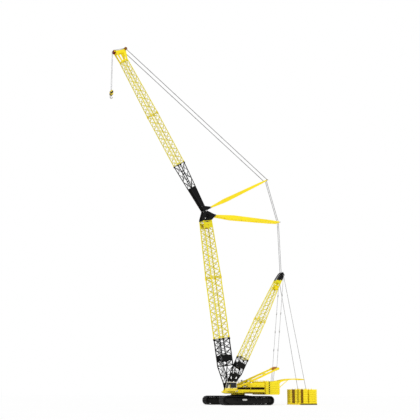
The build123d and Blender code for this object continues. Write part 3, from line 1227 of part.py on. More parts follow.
HORN = at(JIB, STAY_HORN[0], 0, STAY_HORN[1])
with BuildPart() as jib_guide_sheaves:
    for y in TIP_SHEAVE_YS:
        add(sheave(HORN, y, JIB_GUIDE_SHEAVE, SHEAVE_WIDTH, HEAD_PIN_RADIUS + SEAT_GAP))
finish(jib_guide_sheaves, "jib_guide_sheaves")

with BuildPart() as head_pins:
    for side in (1, -1):
        y_in, y_out = side * (CHEEK_INNER - 8), side * (CHEEK_OUTER + 8)
        add(tube(at(BOOM, 0, y_in, BOOM_LENGTH), at(BOOM, 0, y_out, BOOM_LENGTH), JIB_PIN_RADIUS))
        strut_pin = (at(BOOM, REAR_STRUT_X, y_in, REAR_STRUT_Z), at(BOOM, REAR_STRUT_X, y_out, REAR_STRUT_Z))
        add(tube(*strut_pin, STRUT_PIN_RADIUS))
finish(head_pins, "head_pins")

with BuildPart() as strut_pins:
    for side in (1, -1):
        inner = at(JIB, FRONT_STRUT_X, side * (FRONT_STRUT_Y - 19), FRONT_STRUT_Z)
        outer = at(JIB, FRONT_STRUT_X, side * (JIB_LUG_Y + 19), FRONT_STRUT_Z)
        add(tube(inner, outer, STRUT_PIN_RADIUS))
finish(strut_pins, "strut_pins")

JIB_TIP = at(JIB, TIP[0], 0, TIP[1])
with BuildPart() as tip_sheave:
    add(cross_tube(JIB, *TIP, JIB_HEAD_Y + 10, 8))
    for y in TIP_SHEAVE_YS:
        add(sheave(JIB_TIP, y, TIP_SHEAVE_RADIUS, SHEAVE_WIDTH, 0))
finish(tip_sheave, "tip_sheave")

# Stays and ropes
FRONT_TIP = at(FRONT_STRUT, 0, 0, STRUT_LENGTH)
REAR_TIP = at(REAR_STRUT, 0, 0, STRUT_LENGTH)
PIN_SEAT = HEAD_PIN_RADIUS + SEAT_GAP
DERRICK_SEAT = groove_seat(DERRICK_SHEAVE, 0.75 * SHEAVE_WIDTH)
GANTRY_SEAT = groove_seat(GANTRY_SHEAVE, SHEAVE_WIDTH) + ROPE_RADIUS
with BuildPart() as jib_stays:
    for y in (-88, 88):
        add(rope_run(HORN, FRONT_TIP, y, y, STAY_RADIUS, PIN_SEAT, PIN_SEAT))
finish(jib_stays, "jib_stays")

with BuildPart() as jib_luffing_ropes:
    for y in (-30, 30):
        add(rope_run(FRONT_TIP, REAR_TIP, y, y, ROPE_RADIUS, PIN_SEAT, PIN_SEAT))
finish(jib_luffing_ropes, "jib_luffing_ropes")

with BuildPart() as boom_luffing_ropes:
    for y in (-30, 30):
        add(rope_run(REAR_TIP, DERRICK_TOP, y, y, ROPE_RADIUS, PIN_SEAT, DERRICK_SEAT))
finish(boom_luffing_ropes, "boom_luffing_ropes")

with BuildPart() as gantry_pendants:
    for y in (-100, 100):
        add(rope_run(DERRICK_BACK, GANTRY_TIP, y, y, STAY_RADIUS, STRUT_PIN_RADIUS + SEAT_GAP, PIN_SEAT))
finish(gantry_pendants, "gantry_pendants")

with BuildPart() as gantry_ropes:
    for y in (-56, 56):
        lower_end = Vector(LOWER_BLOCK_X, y, LOWER_SHEAVE_TOP + 2 * SEAT_GAP)
        upper_end = Vector(GANTRY_TIP.X + 0.8 * GANTRY_SEAT, y, GANTRY_TIP.Z - 0.6 * GANTRY_SEAT)
        add(tube(lower_end, upper_end, ROPE_RADIUS))
finish(gantry_ropes, "gantry_ropes")

with BuildPart() as ballast_ropes:
    yoke = Vector(TRAY_MID_X, 0, YOKE_TOP)
    for side in (1, -1):
        ends = (side * YOKE_Y, side * BALLAST_ROPE_Y)
        add(rope_run(yoke, DERRICK_TOP, *ends, ROPE_RADIUS, 2 * SEAT_GAP, PIN_SEAT))
finish(ballast_ropes, "ballast_ropes")

ROPE_OFFSET = (ROPE_RADIUS + SEAT_GAP) * sqrt(1 + GROOVE_SLOPE**2)
ROPE_X = JIB_TIP.X + groove_floor(TIP_SHEAVE_RADIUS, SHEAVE_WIDTH) + ROPE_OFFSET
HOOK_Z = JIB_TIP.Z - HOOK_DROP
BLOCK_AXLE_Z = HOOK_Z + BLOCK_HALF_LENGTH - BLOCK_SHEAVE
BLOCK_SHEAVE_WIDTH = SHEAVE_WIDTH - 4
with BuildPart() as hoist_ropes:
    for y in TIP_SHEAVE_YS:
        rope_foot = Vector(ROPE_X, y, BLOCK_AXLE_Z + groove_seat(BLOCK_SHEAVE, BLOCK_SHEAVE_WIDTH))
        add(tube(rope_foot, (ROPE_X, y, JIB_TIP.Z), ROPE_RADIUS))
finish(hoist_ropes, "hoist_ropes")

with BuildPart() as hook_block:
    for y in (-BLOCK_CHEEK_Y, 0, BLOCK_CHEEK_Y):
        with BuildSketch(side_plane(WORLD, y)):
            with Locations((ROPE_X, HOOK_Z)):
                SlotOverall(2 * BLOCK_HALF_LENGTH, BLOCK_HALF_LENGTH, rotation=90)
        extrude(amount=BLOCK_CHEEK / 2, both=True)
    for y in TIP_SHEAVE_YS:
        add(sheave(Vector(ROPE_X, 0, BLOCK_AXLE_Z), y, BLOCK_SHEAVE, BLOCK_SHEAVE_WIDTH, 0))
    for z in (BLOCK_AXLE_Z, HOOK_Z - BLOCK_HALF_LENGTH + 22):
        axle = Vector(ROPE_X, 0, z)
        add(tube(axle - Vector(0, BLOCK_CHEEK_Y + 6, 0), axle + Vector(0, BLOCK_CHEEK_Y + 6, 0), HOOK_NECK))
    with Locations((ROPE_X, 0, HOOK_Z - BLOCK_HALF_LENGTH)):
        Cylinder(1.6 * HOOK_NECK, 26, align=MIN_Z)
finish(hook_block, "hook_block")

with BuildPart() as hook:
    with BuildSketch(side_plane(WORLD, 0)):
        with Locations((ROPE_X, HOOK_Z - 100)):
            Circle(HOOK_OUTER)
            with Locations((0, 3)):
                Circle(HOOK_INNER, mode=Mode.SUBTRACT)
            with Locations((-30, 21)):
                Rectangle(36, 32, mode=Mode.SUBTRACT)
    extrude(amount=HOOK_THICKNESS / 2, both=True)
    add(tube((ROPE_X, 0, HOOK_Z - 70), (ROPE_X, 0, HOOK_Z - BLOCK_HALF_LENGTH - 0.5), HOOK_NECK))
finish(hook, "hook")

os.makedirs("parts", exist_ok=True)
for piece in pieces:
    export_step(piece, f"parts/{piece.label}.step")
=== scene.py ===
"""Looks of the lattice-boom crawler crane: finishes, fittings, ropes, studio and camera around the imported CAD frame.

Lengths are metres at the model's own size, one tenth of the full-size crane. +X is the way the jib points, +Y the
cab's side and +Z up.
"""
import json
import math

import bpy
import numpy as np
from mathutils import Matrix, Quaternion, Vector


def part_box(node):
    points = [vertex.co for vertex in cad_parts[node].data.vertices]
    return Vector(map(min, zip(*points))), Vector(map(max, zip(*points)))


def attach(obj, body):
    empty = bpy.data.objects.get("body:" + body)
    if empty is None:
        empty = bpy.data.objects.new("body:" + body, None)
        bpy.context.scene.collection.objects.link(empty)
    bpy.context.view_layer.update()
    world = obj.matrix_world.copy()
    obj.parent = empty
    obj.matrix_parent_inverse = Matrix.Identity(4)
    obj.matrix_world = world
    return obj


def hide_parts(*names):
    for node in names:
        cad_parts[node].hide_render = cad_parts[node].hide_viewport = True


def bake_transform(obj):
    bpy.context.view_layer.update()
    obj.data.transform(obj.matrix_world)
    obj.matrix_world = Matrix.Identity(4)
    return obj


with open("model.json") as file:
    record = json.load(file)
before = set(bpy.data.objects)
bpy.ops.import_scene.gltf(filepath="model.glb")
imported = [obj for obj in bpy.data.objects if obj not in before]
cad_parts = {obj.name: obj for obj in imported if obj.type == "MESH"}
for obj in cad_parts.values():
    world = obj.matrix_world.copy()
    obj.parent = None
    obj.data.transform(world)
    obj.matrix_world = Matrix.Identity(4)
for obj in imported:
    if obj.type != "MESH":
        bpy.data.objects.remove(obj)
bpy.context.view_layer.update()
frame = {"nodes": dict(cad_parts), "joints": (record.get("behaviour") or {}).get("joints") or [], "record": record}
nodes = frame["nodes"]
pivots = {joint["name"]: np.array(joint["pos_m"]) for joint in frame["joints"] if "pos_m" in joint}

# Members as the CAD frame has them: pivots, angles in degrees above +X, and lengths
FOOT = pivots["boom_luff"]
JIB_PIVOT = pivots["jib_luff"]
TIP = pivots["tip_sheave_level"]
BOOM_ANGLE, JIB_ANGLE, DERRICK_ANGLE = 81.2, 58.3, 117.3
BOOM_LENGTH, JIB_LENGTH, DERRICK_LENGTH = 4.115, 4.100, 3.050
STRUT_LENGTH, FRONT_STRUT_ANGLE, REAR_STRUT_ANGLE = 1.735, 151.4, 180.4
SIDES = ((1, "left"), (-1, "right"))


def length_ends(knee, foot, middle, top):
    """Ends of a member's lattice lengths: its knee, the end of its foot, its middle joint and the lattice's top.

    The knee is a share of the foot's length, and the middle joint a share of the way from the foot to the top.
    """
    return knee * foot, foot, foot + middle * (top - foot), top


BOOM_ENDS = length_ends(0.45, 0.282 * BOOM_LENGTH, 0.513, BOOM_LENGTH - 0.225)
JIB_ENDS = length_ends(0.496, 0.305 * JIB_LENGTH, 0.482, JIB_LENGTH - 0.150)
DERRICK_ENDS = length_ends(0.53, 0.259 * DERRICK_LENGTH, 0.497, DERRICK_LENGTH - 0.240)
# Half depth and half width of each member at those four ends
BOOM_HALF, JIB_HALF, DERRICK_HALF = (0.120, 0.150), (0.090, 0.110), (0.096, 0.100)
BOOM_HALVES = (BOOM_HALF, BOOM_HALF, BOOM_HALF, (0.100, 0.110))
JIB_HALVES = ((0.060, 0.092), JIB_HALF, JIB_HALF, (0.072, 0.080))
DERRICK_HALVES = (DERRICK_HALF, DERRICK_HALF, DERRICK_HALF, (0.060, 0.060))

# Tracks
TRACK_LENGTH, TRACK_HEIGHT, TRACK_Y, SHOE_WIDTH, SHOE_COUNT = 1.300, 0.205, 0.440, 0.195, 52
SHOE_GAP, SHOE_THICKNESS, LINK_DEPTH = 0.007, 0.012, 0.012
WHEEL_X, WHEEL_Z = (TRACK_LENGTH - TRACK_HEIGHT) / 2, TRACK_HEIGHT / 2
FRAME_FACE, ROLLER_Z = TRACK_Y + 0.058, 0.0443

# Platform, houses, winches and ropes
DECK_TOP, WING_EDGE, HOUSE_TOP = 0.300, 0.340, 0.490
HOUSE_FRONT, HOUSE_REAR = -0.150, -0.510
GRILLE_COUNT, GRILLE_PITCH = 6, 0.0578
DOOR_COUNT, DOOR_PITCH = 3, 0.114
LOUVRE_Z, DOOR_Z = 0.369, 0.4345
HOUSE_MIDDLE = (HOUSE_FRONT + HOUSE_REAR) / 2
WINCH_CORE, WINCH_HALF, WINCH_AXIS_Z = 0.046, 0.098, 0.374
HOIST_WINCH_X, LUFFING_WINCH_X = -0.220, -0.420
ROPE_RADIUS = 0.003
THICK_ROPE = 1.2 * ROPE_RADIUS


def along(pivot, angle, points):
    """Frame places of points given on a member: x to its front, y across it, z along it from the pivot.

    It is a turn in the side view: the member's length points at the angle above +X.
    """
    c, s = math.cos(math.radians(angle)), math.sin(math.radians(angle))
    p = np.asarray(points, float)
    x = pivot[0] + p[..., 0] * s + p[..., 2] * c
    z = pivot[2] - p[..., 0] * c + p[..., 2] * s
    return np.stack([x, p[..., 1], z], -1)


def mesh_grid(*ranges):
    """Every combination of the given values, one row each."""
    return np.stack(np.meshgrid(*ranges, indexing="ij"), -1).reshape(-1, len(ranges))


def even(count, pitch):
    """Evenly spaced places about zero."""
    return (np.arange(count) - (count - 1) / 2) * pitch


def join(*shapes):
    """One shape from several: the point lists follow each other and each face list is moved up to match."""
    points, faces, count = [], [], 0
    for shape_points, shape_faces in shapes:
        points.append(shape_points)
        faces += [group + count for group in shape_faces]
        count += len(shape_points)
    return np.concatenate(points), faces


def rods(starts, ends, radius, sides=8):
    """Closed round rods: a circle is swept from each start to its end, and a flat cap closes both ends.

    A circle point is the middle plus radius times cos(t) along one cross direction and sin(t) along the other.
    """
    a = np.asarray(starts, float).reshape(-1, 3)
    b = np.asarray(ends, float).reshape(-1, 3)
    way = (b - a) / np.linalg.norm(b - a, axis=1, keepdims=True)
    spare = np.where(np.abs(way[:, 2:]) < 0.9, [[0.0, 0.0, 1.0]], [[1.0, 0.0, 0.0]])
    u = np.cross(way, spare)
    u /= np.linalg.norm(u, axis=1, keepdims=True)
    v = np.cross(way, u)
    t = np.linspace(0.0, 2.0 * math.pi, sides, endpoint=False)
    ring = u[:, None] * np.cos(t)[:, None] + v[:, None] * np.sin(t)[:, None]
    ring *= np.broadcast_to(radius, len(a))[:, None, None]
    points = np.concatenate([a[:, None] + ring, b[:, None] + ring], 1).reshape(-1, 3)
    i = np.arange(sides)
    j = (i + 1) % sides
    step = 2 * sides * np.arange(len(a))[:, None]
    walls = (np.stack([i, j, j + sides, i + sides], 1)[None] + step[..., None]).reshape(-1, 4)
    return points, [walls, i[::-1][None] + step, i[None] + sides + step]


BLOCK_SIGNS = np.repeat(mesh_grid((-1, 1), (-1, 1), (-1, 1)), 3, axis=0)
BLOCK_OWN = np.tile(np.eye(3, dtype=bool), (8, 1))


def outward(faces, points):
    """Faces turned to look away from the origin: one whose normal points against its middle is reversed."""
    corners = points[faces]
    normal = np.cross(corners[:, 1] - corners[:, 0], corners[:, 2] - corners[:, 0])
    inward = (normal * corners.mean(1)).sum(1) < 0
    return np.where(inward[:, None], faces[:, ::-1], faces)


def bevelled_block():
    """Faces of a block whose eight corners are each cut to three points, turned to face outwards.

    Corner c has the number 4x + 2y + z, with nought for the low side of an axis and one for the high side, and its
    point 3c + k lies in the face across axis k. Each axis k gives two flat faces, and four bevels to the next axis j
    that run along the third axis i.
    """
    weight = np.array([4, 2, 1])
    k = np.arange(3)[:, None, None]
    j, i = (k + 1) % 3, (k + 2) % 3
    turn_j, turn_i = np.array([0, 1, 1, 0]), np.array([0, 0, 1, 1])
    flats = 3 * (np.arange(2)[:, None] * weight[k] + turn_j * weight[j] + turn_i * weight[i]) + k
    high_k, high_j = np.array([[0], [0], [1], [1]]), np.array([[0], [1], [0], [1]])
    bevels = 3 * (high_k * weight[k] + high_j * weight[j] + turn_j * weight[i]) + np.where(turn_i == 0, k, j)
    quads = np.concatenate([flats, bevels], 1).reshape(-1, 4)
    unit = BLOCK_SIGNS * np.where(BLOCK_OWN, 1.0, 0.8)
    return outward(quads, unit), outward(np.arange(24).reshape(8, 3), unit)


BLOCK_QUADS, BLOCK_TRIANGLES = bevelled_block()


def blocks(centres, sizes, bevel=0.002, axes=None):
    """Blocks with bevelled edges: each corner point is half the size along one axis, and half less the bevel on two.

    axes holds the block's own X, Y and Z directions as rows where it is turned.
    """
    c = np.asarray(centres, float).reshape(-1, 3)
    half = np.broadcast_to(np.asarray(sizes, float), c.shape) / 2
    drawn = np.where(BLOCK_OWN[None], half[:, None], np.maximum(half - bevel, half * 0.3)[:, None])
    local = BLOCK_SIGNS[None] * drawn
    turn = np.eye(3) if axes is None else np.asarray(axes, float)
    points = (c[:, None] + local @ turn).reshape(-1, 3)
    step = 24 * np.arange(len(c))[:, None, None]
    return points, [(BLOCK_QUADS[None] + step).reshape(-1, 4), (BLOCK_TRIANGLES[None] + step).reshape(-1, 3)]


def spindles(profile, centres, axis=(0, 1, 0), sides=24):
    """Turned pieces: a profile of offsets along the axis and radii, swept round the axis at each centre.

    A point is the centre plus the offset along the axis plus the radius times cos(t) and sin(t) across it; the
    first and last profile points lie on the axis and close the poles.
    """
    profile = np.asarray(profile, float)
    c = np.asarray(centres, float).reshape(-1, 3)
    w = np.asarray(axis, float) / np.linalg.norm(axis)
    spare = np.array([0.0, 0.0, 1.0]) if abs(w[2]) < 0.9 else np.array([1.0, 0.0, 0.0])
    u = np.cross(w, spare)
    u /= np.linalg.norm(u)
    v = np.cross(w, u)
    t = np.linspace(0.0, 2.0 * math.pi, sides, endpoint=False)
    ring = u * np.cos(t)[:, None] + v * np.sin(t)[:, None]
    body = profile[1:-1]
    rings = body[:, None, :1] * w + body[:, None, 1:] * ring[None]
    poles = profile[[0, -1], :1] * w
    one = np.concatenate([rings.reshape(-1, 3), poles])
    points = (c[:, None] + one[None]).reshape(-1, 3)
    i = np.arange(sides)
    j = (i + 1) % sides
    row = sides * np.arange(len(body) - 1)[:, None, None]
    walls = (np.stack([i, j, j + sides, i + sides], 1)[None] + row).reshape(-1, 4)
    first, last, top = len(one) - 2, len(one) - 1, sides * (len(body) - 1)
    fans = np.concatenate([
        np.stack([j, i, np.full(sides, first)], 1), np.stack([i + top, j + top, np.full(sides, last)], 1),
    ])
    step = len(one) * np.arange(len(c))[:, None, None]
    return points, [(walls[None] + step).reshape(-1, 4), (fans[None] + step).reshape(-1, 3)]


def mesh_object(name, shape, finish):
    """Object of a shape at the origin: the points and the faces of each face list go into its mesh as they are."""
    points, faces = shape
    mesh = bpy.data.meshes.new(name)
    mesh.from_pydata(points.tolist(), [], [face for group in faces for face in group.tolist()])
    mesh.materials.append(finish)
    obj = bpy.data.objects.new(name, mesh)
    bpy.context.collection.objects.link(obj)
    return obj


def piece(name, shape, finish, body, replaces=(), smooth=False):
    """Puts a shape into the scene as one named piece that rides on a CAD body."""
    obj = mesh_object(name, shape, finish)
    if smooth:
        obj.data.shade_smooth()
        obj.data.set_sharp_from_angle(angle=math.radians(35))
    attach(obj, body)
    if replaces:
        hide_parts(*replaces)


def new_finish(name):
    """Empty finish: its material, node tree, shader and Object coordinates."""
    mat = bpy.data.materials.new(name)
    mat.use_nodes = True
    tree = mat.node_tree
    place = tree.nodes.new("ShaderNodeTexCoord")
    return mat, tree, tree.nodes["Principled BSDF"], place.outputs["Object"]


def noise(tree, place, scale, detail=4.0, stretch=None):
    """Noise on the given coordinates, squeezed along an axis where a stretch is given."""
    if stretch:
        mapping = tree.nodes.new("ShaderNodeMapping")
        mapping.inputs["Scale"].default_value = stretch
        tree.links.new(place, mapping.inputs["Vector"])
        place = mapping.outputs["Vector"]
    node = tree.nodes.new("ShaderNodeTexNoise")
    node.inputs["Scale"].default_value = scale
    node.inputs["Detail"].default_value = detail
    tree.links.new(place, node.inputs["Vector"])
    return node.outputs["Fac"]


def ramp(tree, value, low, high, start=0.35, end=0.65):
    """Colours from low to high as the value goes from start to end."""
    node = tree.nodes.new("ShaderNodeValToRGB")
    node.color_ramp.elements[0].position = start
    node.color_ramp.elements[0].color = (*low, 1.0)
    node.color_ramp.elements[1].position = end
    node.color_ramp.elements[1].color = (*high, 1.0)
    tree.links.new(value, node.inputs["Fac"])
    return node.outputs["Color"]


def span(tree, value, low, high, start=0.0, end=1.0):
    """Numbers from low to high as the value goes from start to end."""
    node = tree.nodes.new("ShaderNodeMapRange")
    node.inputs["From Min"].default_value = start
    node.inputs["From Max"].default_value = end
    node.inputs["To Min"].default_value = low
    node.inputs["To Max"].default_value = high
    tree.links.new(value, node.inputs["Value"])
    return node.outputs["Result"]


def blend_colours(tree, share, first, second):
    """Mix of two colours by a share."""
    node = tree.nodes.new("ShaderNodeMix")
    node.data_type = "RGBA"
    tree.links.new(share, node.inputs["Factor"])
    tree.links.new(first, node.inputs[6])
    if isinstance(second, tuple):
        node.inputs[7].default_value = (*second, 1.0)
    else:
        tree.links.new(second, node.inputs[7])
    return node.outputs[2]


def bump(tree, shader, height, strength, depth):
    """Relief on the shader's normal that follows a height."""
    node = tree.nodes.new("ShaderNodeBump")
    node.inputs["Strength"].default_value = strength
    node.inputs["Distance"].default_value = depth
    tree.links.new(height, node.inputs["Height"])
    tree.links.new(node.outputs["Normal"], shader.inputs["Normal"])


def combine(tree, operation, first, second):
    """One value from two by the named sum."""
    node = tree.nodes.new("ShaderNodeMath")
    node.operation = operation
    tree.links.new(first, node.inputs[0])
    tree.links.new(second, node.inputs[1])
    return node.outputs["Value"]


def axis_of(tree, place, axis):
    """One axis of the given coordinates."""
    node = tree.nodes.new("ShaderNodeSeparateXYZ")
    tree.links.new(place, node.inputs["Vector"])
    return node.outputs[axis]


PAINT_EDGE = 0.0005


def within(tree, value, low, high):
    """One where the value lies between low and high, with a soft edge at both, else nought."""
    rise = span(tree, value, 0.0, 1.0, low - PAINT_EDGE, low + PAINT_EDGE)
    fall = span(tree, value, 1.0, 0.0, high - PAINT_EDGE, high + PAINT_EDGE)
    return combine(tree, "MULTIPLY", rise, fall)


def painted_steel(name, tone, shade, roughness, chip=(0.10, 0.09, 0.08), dust=0.0, chips=0.715, gloss=0.4, lower=None,
                  band=None):
    """Painted steel: two close tones in broad clouds, faint rain streaks, small chips to primer, dust low down.

    Where lower gives a height and a tone, the paint below that height has that tone; where band gives a span of
    heights, a span of lengths and a tone, the paint inside both spans has that tone.
    """
    mat, tree, shader, place = new_finish(name)
    shader.inputs["Specular IOR Level"].default_value = gloss
    clouds = noise(tree, place, 2.5, 6.0)
    colour = ramp(tree, clouds, shade, tone)
    if lower:
        below = span(tree, axis_of(tree, place, "Z"), 1.0, 0.0, lower[0] - PAINT_EDGE, lower[0] + PAINT_EDGE)
        colour = blend_colours(tree, below, colour, lower[1])
    if band:
        heights = within(tree, axis_of(tree, place, "Z"), *band[0])
        lengths = within(tree, axis_of(tree, place, "X"), *band[1])
        colour = blend_colours(tree, combine(tree, "MULTIPLY", heights, lengths), colour, band[2])
    streaks = noise(tree, place, 1.0, 3.0, (45.0, 45.0, 2.5))
    grime = tuple(0.55 * value for value in shade)
    colour = blend_colours(tree, span(tree, streaks, 0.0, 0.22, 0.52, 0.8), colour, grime)
    specks = noise(tree, place, 70.0, 2.0)
    colour = blend_colours(tree, span(tree, specks, 0.0, 0.8, chips, chips + 0.015), colour, chip)
    if dust:
        film = span(tree, axis_of(tree, place, "Z"), dust, 0.0, 0.0, 0.2)
        colour = blend_colours(tree, film, colour, (0.20, 0.18, 0.15))
    tree.links.new(colour, shader.inputs["Base Color"])
    tree.links.new(span(tree, clouds, roughness - 0.07, roughness + 0.12, 0.3, 0.7), shader.inputs["Roughness"])
    bump(tree, shader, noise(tree, place, 220.0, 2.0), 0.06, 0.001)
    return mat


def bare_metal(name, tone, shade, roughness, grain):
    """Machined steel: fine grain drawn along one axis in tone and roughness."""
    mat, tree, shader, place = new_finish(name)
    lines = noise(tree, place, 6.0, 5.0, grain)
    tree.links.new(ramp(tree, lines, shade, tone), shader.inputs["Base Color"])
    shader.inputs["Metallic"].default_value = 0.85
    tree.links.new(span(tree, lines, roughness - 0.08, roughness + 0.15, 0.3, 0.7), shader.inputs["Roughness"])
    bump(tree, shader, lines, 0.08, 0.0005)
    return mat


def wire_rope(name, tone, shade, pitch):
    """Twisted wire rope: slanting strands from a band pattern on the rope's own map, round it and along it."""
    mat, tree, shader, place = new_finish(name)
    own = tree.nodes.new("ShaderNodeUVMap")
    own.uv_map = "strands"
    mapping = tree.nodes.new("ShaderNodeMapping")
    mapping.inputs["Scale"].default_value = (6.0, 1.0 / pitch, 1.0)
    tree.links.new(own.outputs["UV"], mapping.inputs["Vector"])
    strands = tree.nodes.new("ShaderNodeTexWave")
    strands.bands_direction = "DIAGONAL"
    strands.inputs["Scale"].default_value = 1.0
    strands.inputs["Distortion"].default_value = 0.6
    tree.links.new(mapping.outputs["Vector"], strands.inputs["Vector"])
    colour = ramp(tree, strands.outputs["Fac"], shade, tone, 0.1, 0.8)
    colour = blend_colours(tree, span(tree, noise(tree, place, 3.0), 0.0, 0.35, 0.4, 0.7), colour, shade)
    tree.links.new(colour, shader.inputs["Base Color"])
    shader.inputs["Metallic"].default_value = 0.55
    tree.links.new(span(tree, strands.outputs["Fac"], 0.6, 0.38), shader.inputs["Roughness"])
    bump(tree, shader, strands.outputs["Fac"], 0.4, 0.001)
    return mat


def window_glass(name, tone, shade):
    """Dark tinted glass with faint dust clouds in tone and roughness."""
    mat, tree, shader, place = new_finish(name)
    clouds = noise(tree, place, 9.0, 3.0)
    tree.links.new(ramp(tree, clouds, shade, tone), shader.inputs["Base Color"])
    tree.links.new(span(tree, clouds, 0.04, 0.16, 0.3, 0.7), shader.inputs["Roughness"])
    shader.inputs["Transmission Weight"].default_value = 0.15
    shader.inputs["Specular IOR Level"].default_value = 0.25
    shader.inputs["IOR"].default_value = 1.5
    bump(tree, shader, clouds, 0.02, 0.001)
    return mat


def soft_plastic(name, tone, shade, scale, roughness):
    """Grained plastic or rubber: small cells in the surface and broad clouds in tone."""
    mat, tree, shader, place = new_finish(name)
    cells = tree.nodes.new("ShaderNodeTexVoronoi")
    cells.inputs["Scale"].default_value = scale
    tree.links.new(place, cells.inputs["Vector"])
    clouds = noise(tree, place, 14.0)
    tree.links.new(ramp(tree, clouds, shade, tone), shader.inputs["Base Color"])
    tree.links.new(span(tree, clouds, roughness - 0.1, roughness + 0.1, 0.3, 0.7), shader.inputs["Roughness"])
    bump(tree, shader, cells.outputs["Distance"], 0.25, 0.001)
    return mat


def striped_paint(name, tone, dark):
    """Slanting warning bands in two paints, with a worn edge between them and small clouds in the gloss."""
    mat, tree, shader, place = new_finish(name)
    bands = tree.nodes.new("ShaderNodeTexWave")
    bands.bands_direction = "DIAGONAL"
    bands.inputs["Scale"].default_value = 7.0
    bands.inputs["Distortion"].default_value = 0.15
    tree.links.new(place, bands.inputs["Vector"])
    colour = ramp(tree, bands.outputs["Fac"], dark, tone, 0.64, 0.68)
    clouds = noise(tree, place, 30.0)
    colour = blend_colours(tree, span(tree, clouds, 0.0, 0.25, 0.45, 0.75), colour, (0.05, 0.045, 0.03))
    tree.links.new(colour, shader.inputs["Base Color"])
    tree.links.new(span(tree, clouds, 0.35, 0.55, 0.3, 0.7), shader.inputs["Roughness"])
    bump(tree, shader, noise(tree, place, 220.0, 2.0), 0.06, 0.001)
    return mat


def lamp_lens(name, tone, shade):
    """Ribbed lamp lens: fine bands in the surface over a pale tone that darkens in patches."""
    mat, tree, shader, place = new_finish(name)
    ribs = tree.nodes.new("ShaderNodeTexWave")
    ribs.inputs["Scale"].default_value = 90.0
    tree.links.new(place, ribs.inputs["Vector"])
    clouds = noise(tree, place, 25.0)
    tree.links.new(ramp(tree, clouds, shade, tone), shader.inputs["Base Color"])
    tree.links.new(span(tree, clouds, 0.08, 0.2), shader.inputs["Roughness"])
    bump(tree, shader, ribs.outputs["Fac"], 0.3, 0.001)
    return mat


# The lattice tone is a darker, more olive copy of the yellow paint: painted shade for the thin lattice members.
LATTICE_SHADED_TONE = (0.76, 0.665, 0.016)
BLACK, BLACK_SHADE, BLACK_CHIP = (0.004, 0.004, 0.0045), (0.008, 0.0075, 0.007), (0.05, 0.046, 0.042)
CAB_BELT, CAB_BELT_TONE = 0.372, (0.88, 0.68, 0.018)
CAB_GLAZING = ((0.378, 0.494), (0.226, 0.398), (0.006, 0.006, 0.006))
head_low, head_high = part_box("derrick_head")
HEAD_BLACK_FROM = 0.68 * head_low[2] + 0.32 * head_high[2]

yellow_paint = painted_steel("yellow_paint", (0.91, 0.74, 0.012), (0.85, 0.66, 0.010), 0.42, gloss=0.25)
# Lattice paint: the yellow paint darkened toward olive, painted shade for the thin lattice members.
lattice_yellow = painted_steel("lattice_yellow", LATTICE_SHADED_TONE, (0.68, 0.58, 0.012), 0.44, gloss=0.2)
black_paint = painted_steel("black_paint", BLACK, BLACK_SHADE, 0.54, BLACK_CHIP, gloss=0.10)
derrick_head_paint = painted_steel("derrick_head_paint", BLACK, BLACK_SHADE, 0.54, BLACK_CHIP, gloss=0.10,
                                   lower=(HEAD_BLACK_FROM, LATTICE_SHADED_TONE))
track_black = painted_steel("track_black", (0.005, 0.005, 0.0055), (0.010, 0.0095, 0.009), 0.58, (0.07, 0.066, 0.062),
                            0.03, gloss=0.10)
cream_paint = painted_steel("cream_paint", (0.80, 0.76, 0.58), (0.72, 0.67, 0.49), 0.40,
                            lower=(CAB_BELT, CAB_BELT_TONE), band=CAB_GLAZING)
sheave_orange = painted_steel("sheave_orange", (0.50, 0.21, 0.030), (0.38, 0.15, 0.025), 0.45)
sheave_red = painted_steel("sheave_red", (0.24, 0.008, 0.008), (0.15, 0.006, 0.006), 0.45, gloss=0.15)
sheave_brown = painted_steel("sheave_brown", (0.22, 0.085, 0.012), (0.14, 0.055, 0.010), 0.48, gloss=0.15)
# Dark brown for painted shade on the hung ballast.
ballast_brown = painted_steel("ballast_brown", (0.20, 0.105, 0.006), (0.15, 0.075, 0.004), 0.55, gloss=0.10)
seam_olive = painted_steel("seam_olive", (0.42, 0.33, 0.010), (0.34, 0.26, 0.008), 0.5, gloss=0.15)
# Dark brown for painted shade along the deck's lower edge.
edge_brown = painted_steel("edge_brown", (0.16, 0.060, 0.012), (0.10, 0.036, 0.008), 0.55, gloss=0.10)
louvre_black = painted_steel("louvre_black", (0.012, 0.007, 0.003), (0.020, 0.010, 0.004), 0.6, (0.05, 0.03, 0.015),
                             gloss=0.08)
stay_grey = painted_steel("stay_grey", (0.27, 0.27, 0.275), (0.20, 0.20, 0.205), 0.45, (0.12, 0.11, 0.10))
plate_grey = painted_steel("plate_grey", (0.52, 0.52, 0.50), (0.40, 0.40, 0.39), 0.45)
rope_steel = wire_rope("rope_steel", (0.50, 0.50, 0.51), (0.26, 0.26, 0.27), 0.02)
bar_steel = bare_metal("bar_steel", (0.48, 0.48, 0.49), (0.30, 0.30, 0.31), 0.42, (30.0, 30.0, 2.0))
pin_steel = bare_metal("pin_steel", (0.55, 0.55, 0.55), (0.34, 0.33, 0.32), 0.34, (3.0, 60.0, 60.0))
cab_glass = window_glass("cab_glass", (0.012, 0.014, 0.016), (0.007, 0.008, 0.009))
seat_plastic = soft_plastic("seat_plastic", (0.035, 0.035, 0.037), (0.020, 0.020, 0.022), 260.0, 0.7)
seal_rubber = soft_plastic("seal_rubber", (0.020, 0.020, 0.021), (0.012, 0.012, 0.012), 500.0, 0.65)
lens_clear = lamp_lens("lens_clear", (0.75, 0.75, 0.72), (0.45, 0.45, 0.44))
hook_stripes = striped_paint("hook_stripes", (0.86, 0.66, 0.018), (0.008, 0.008, 0.008))

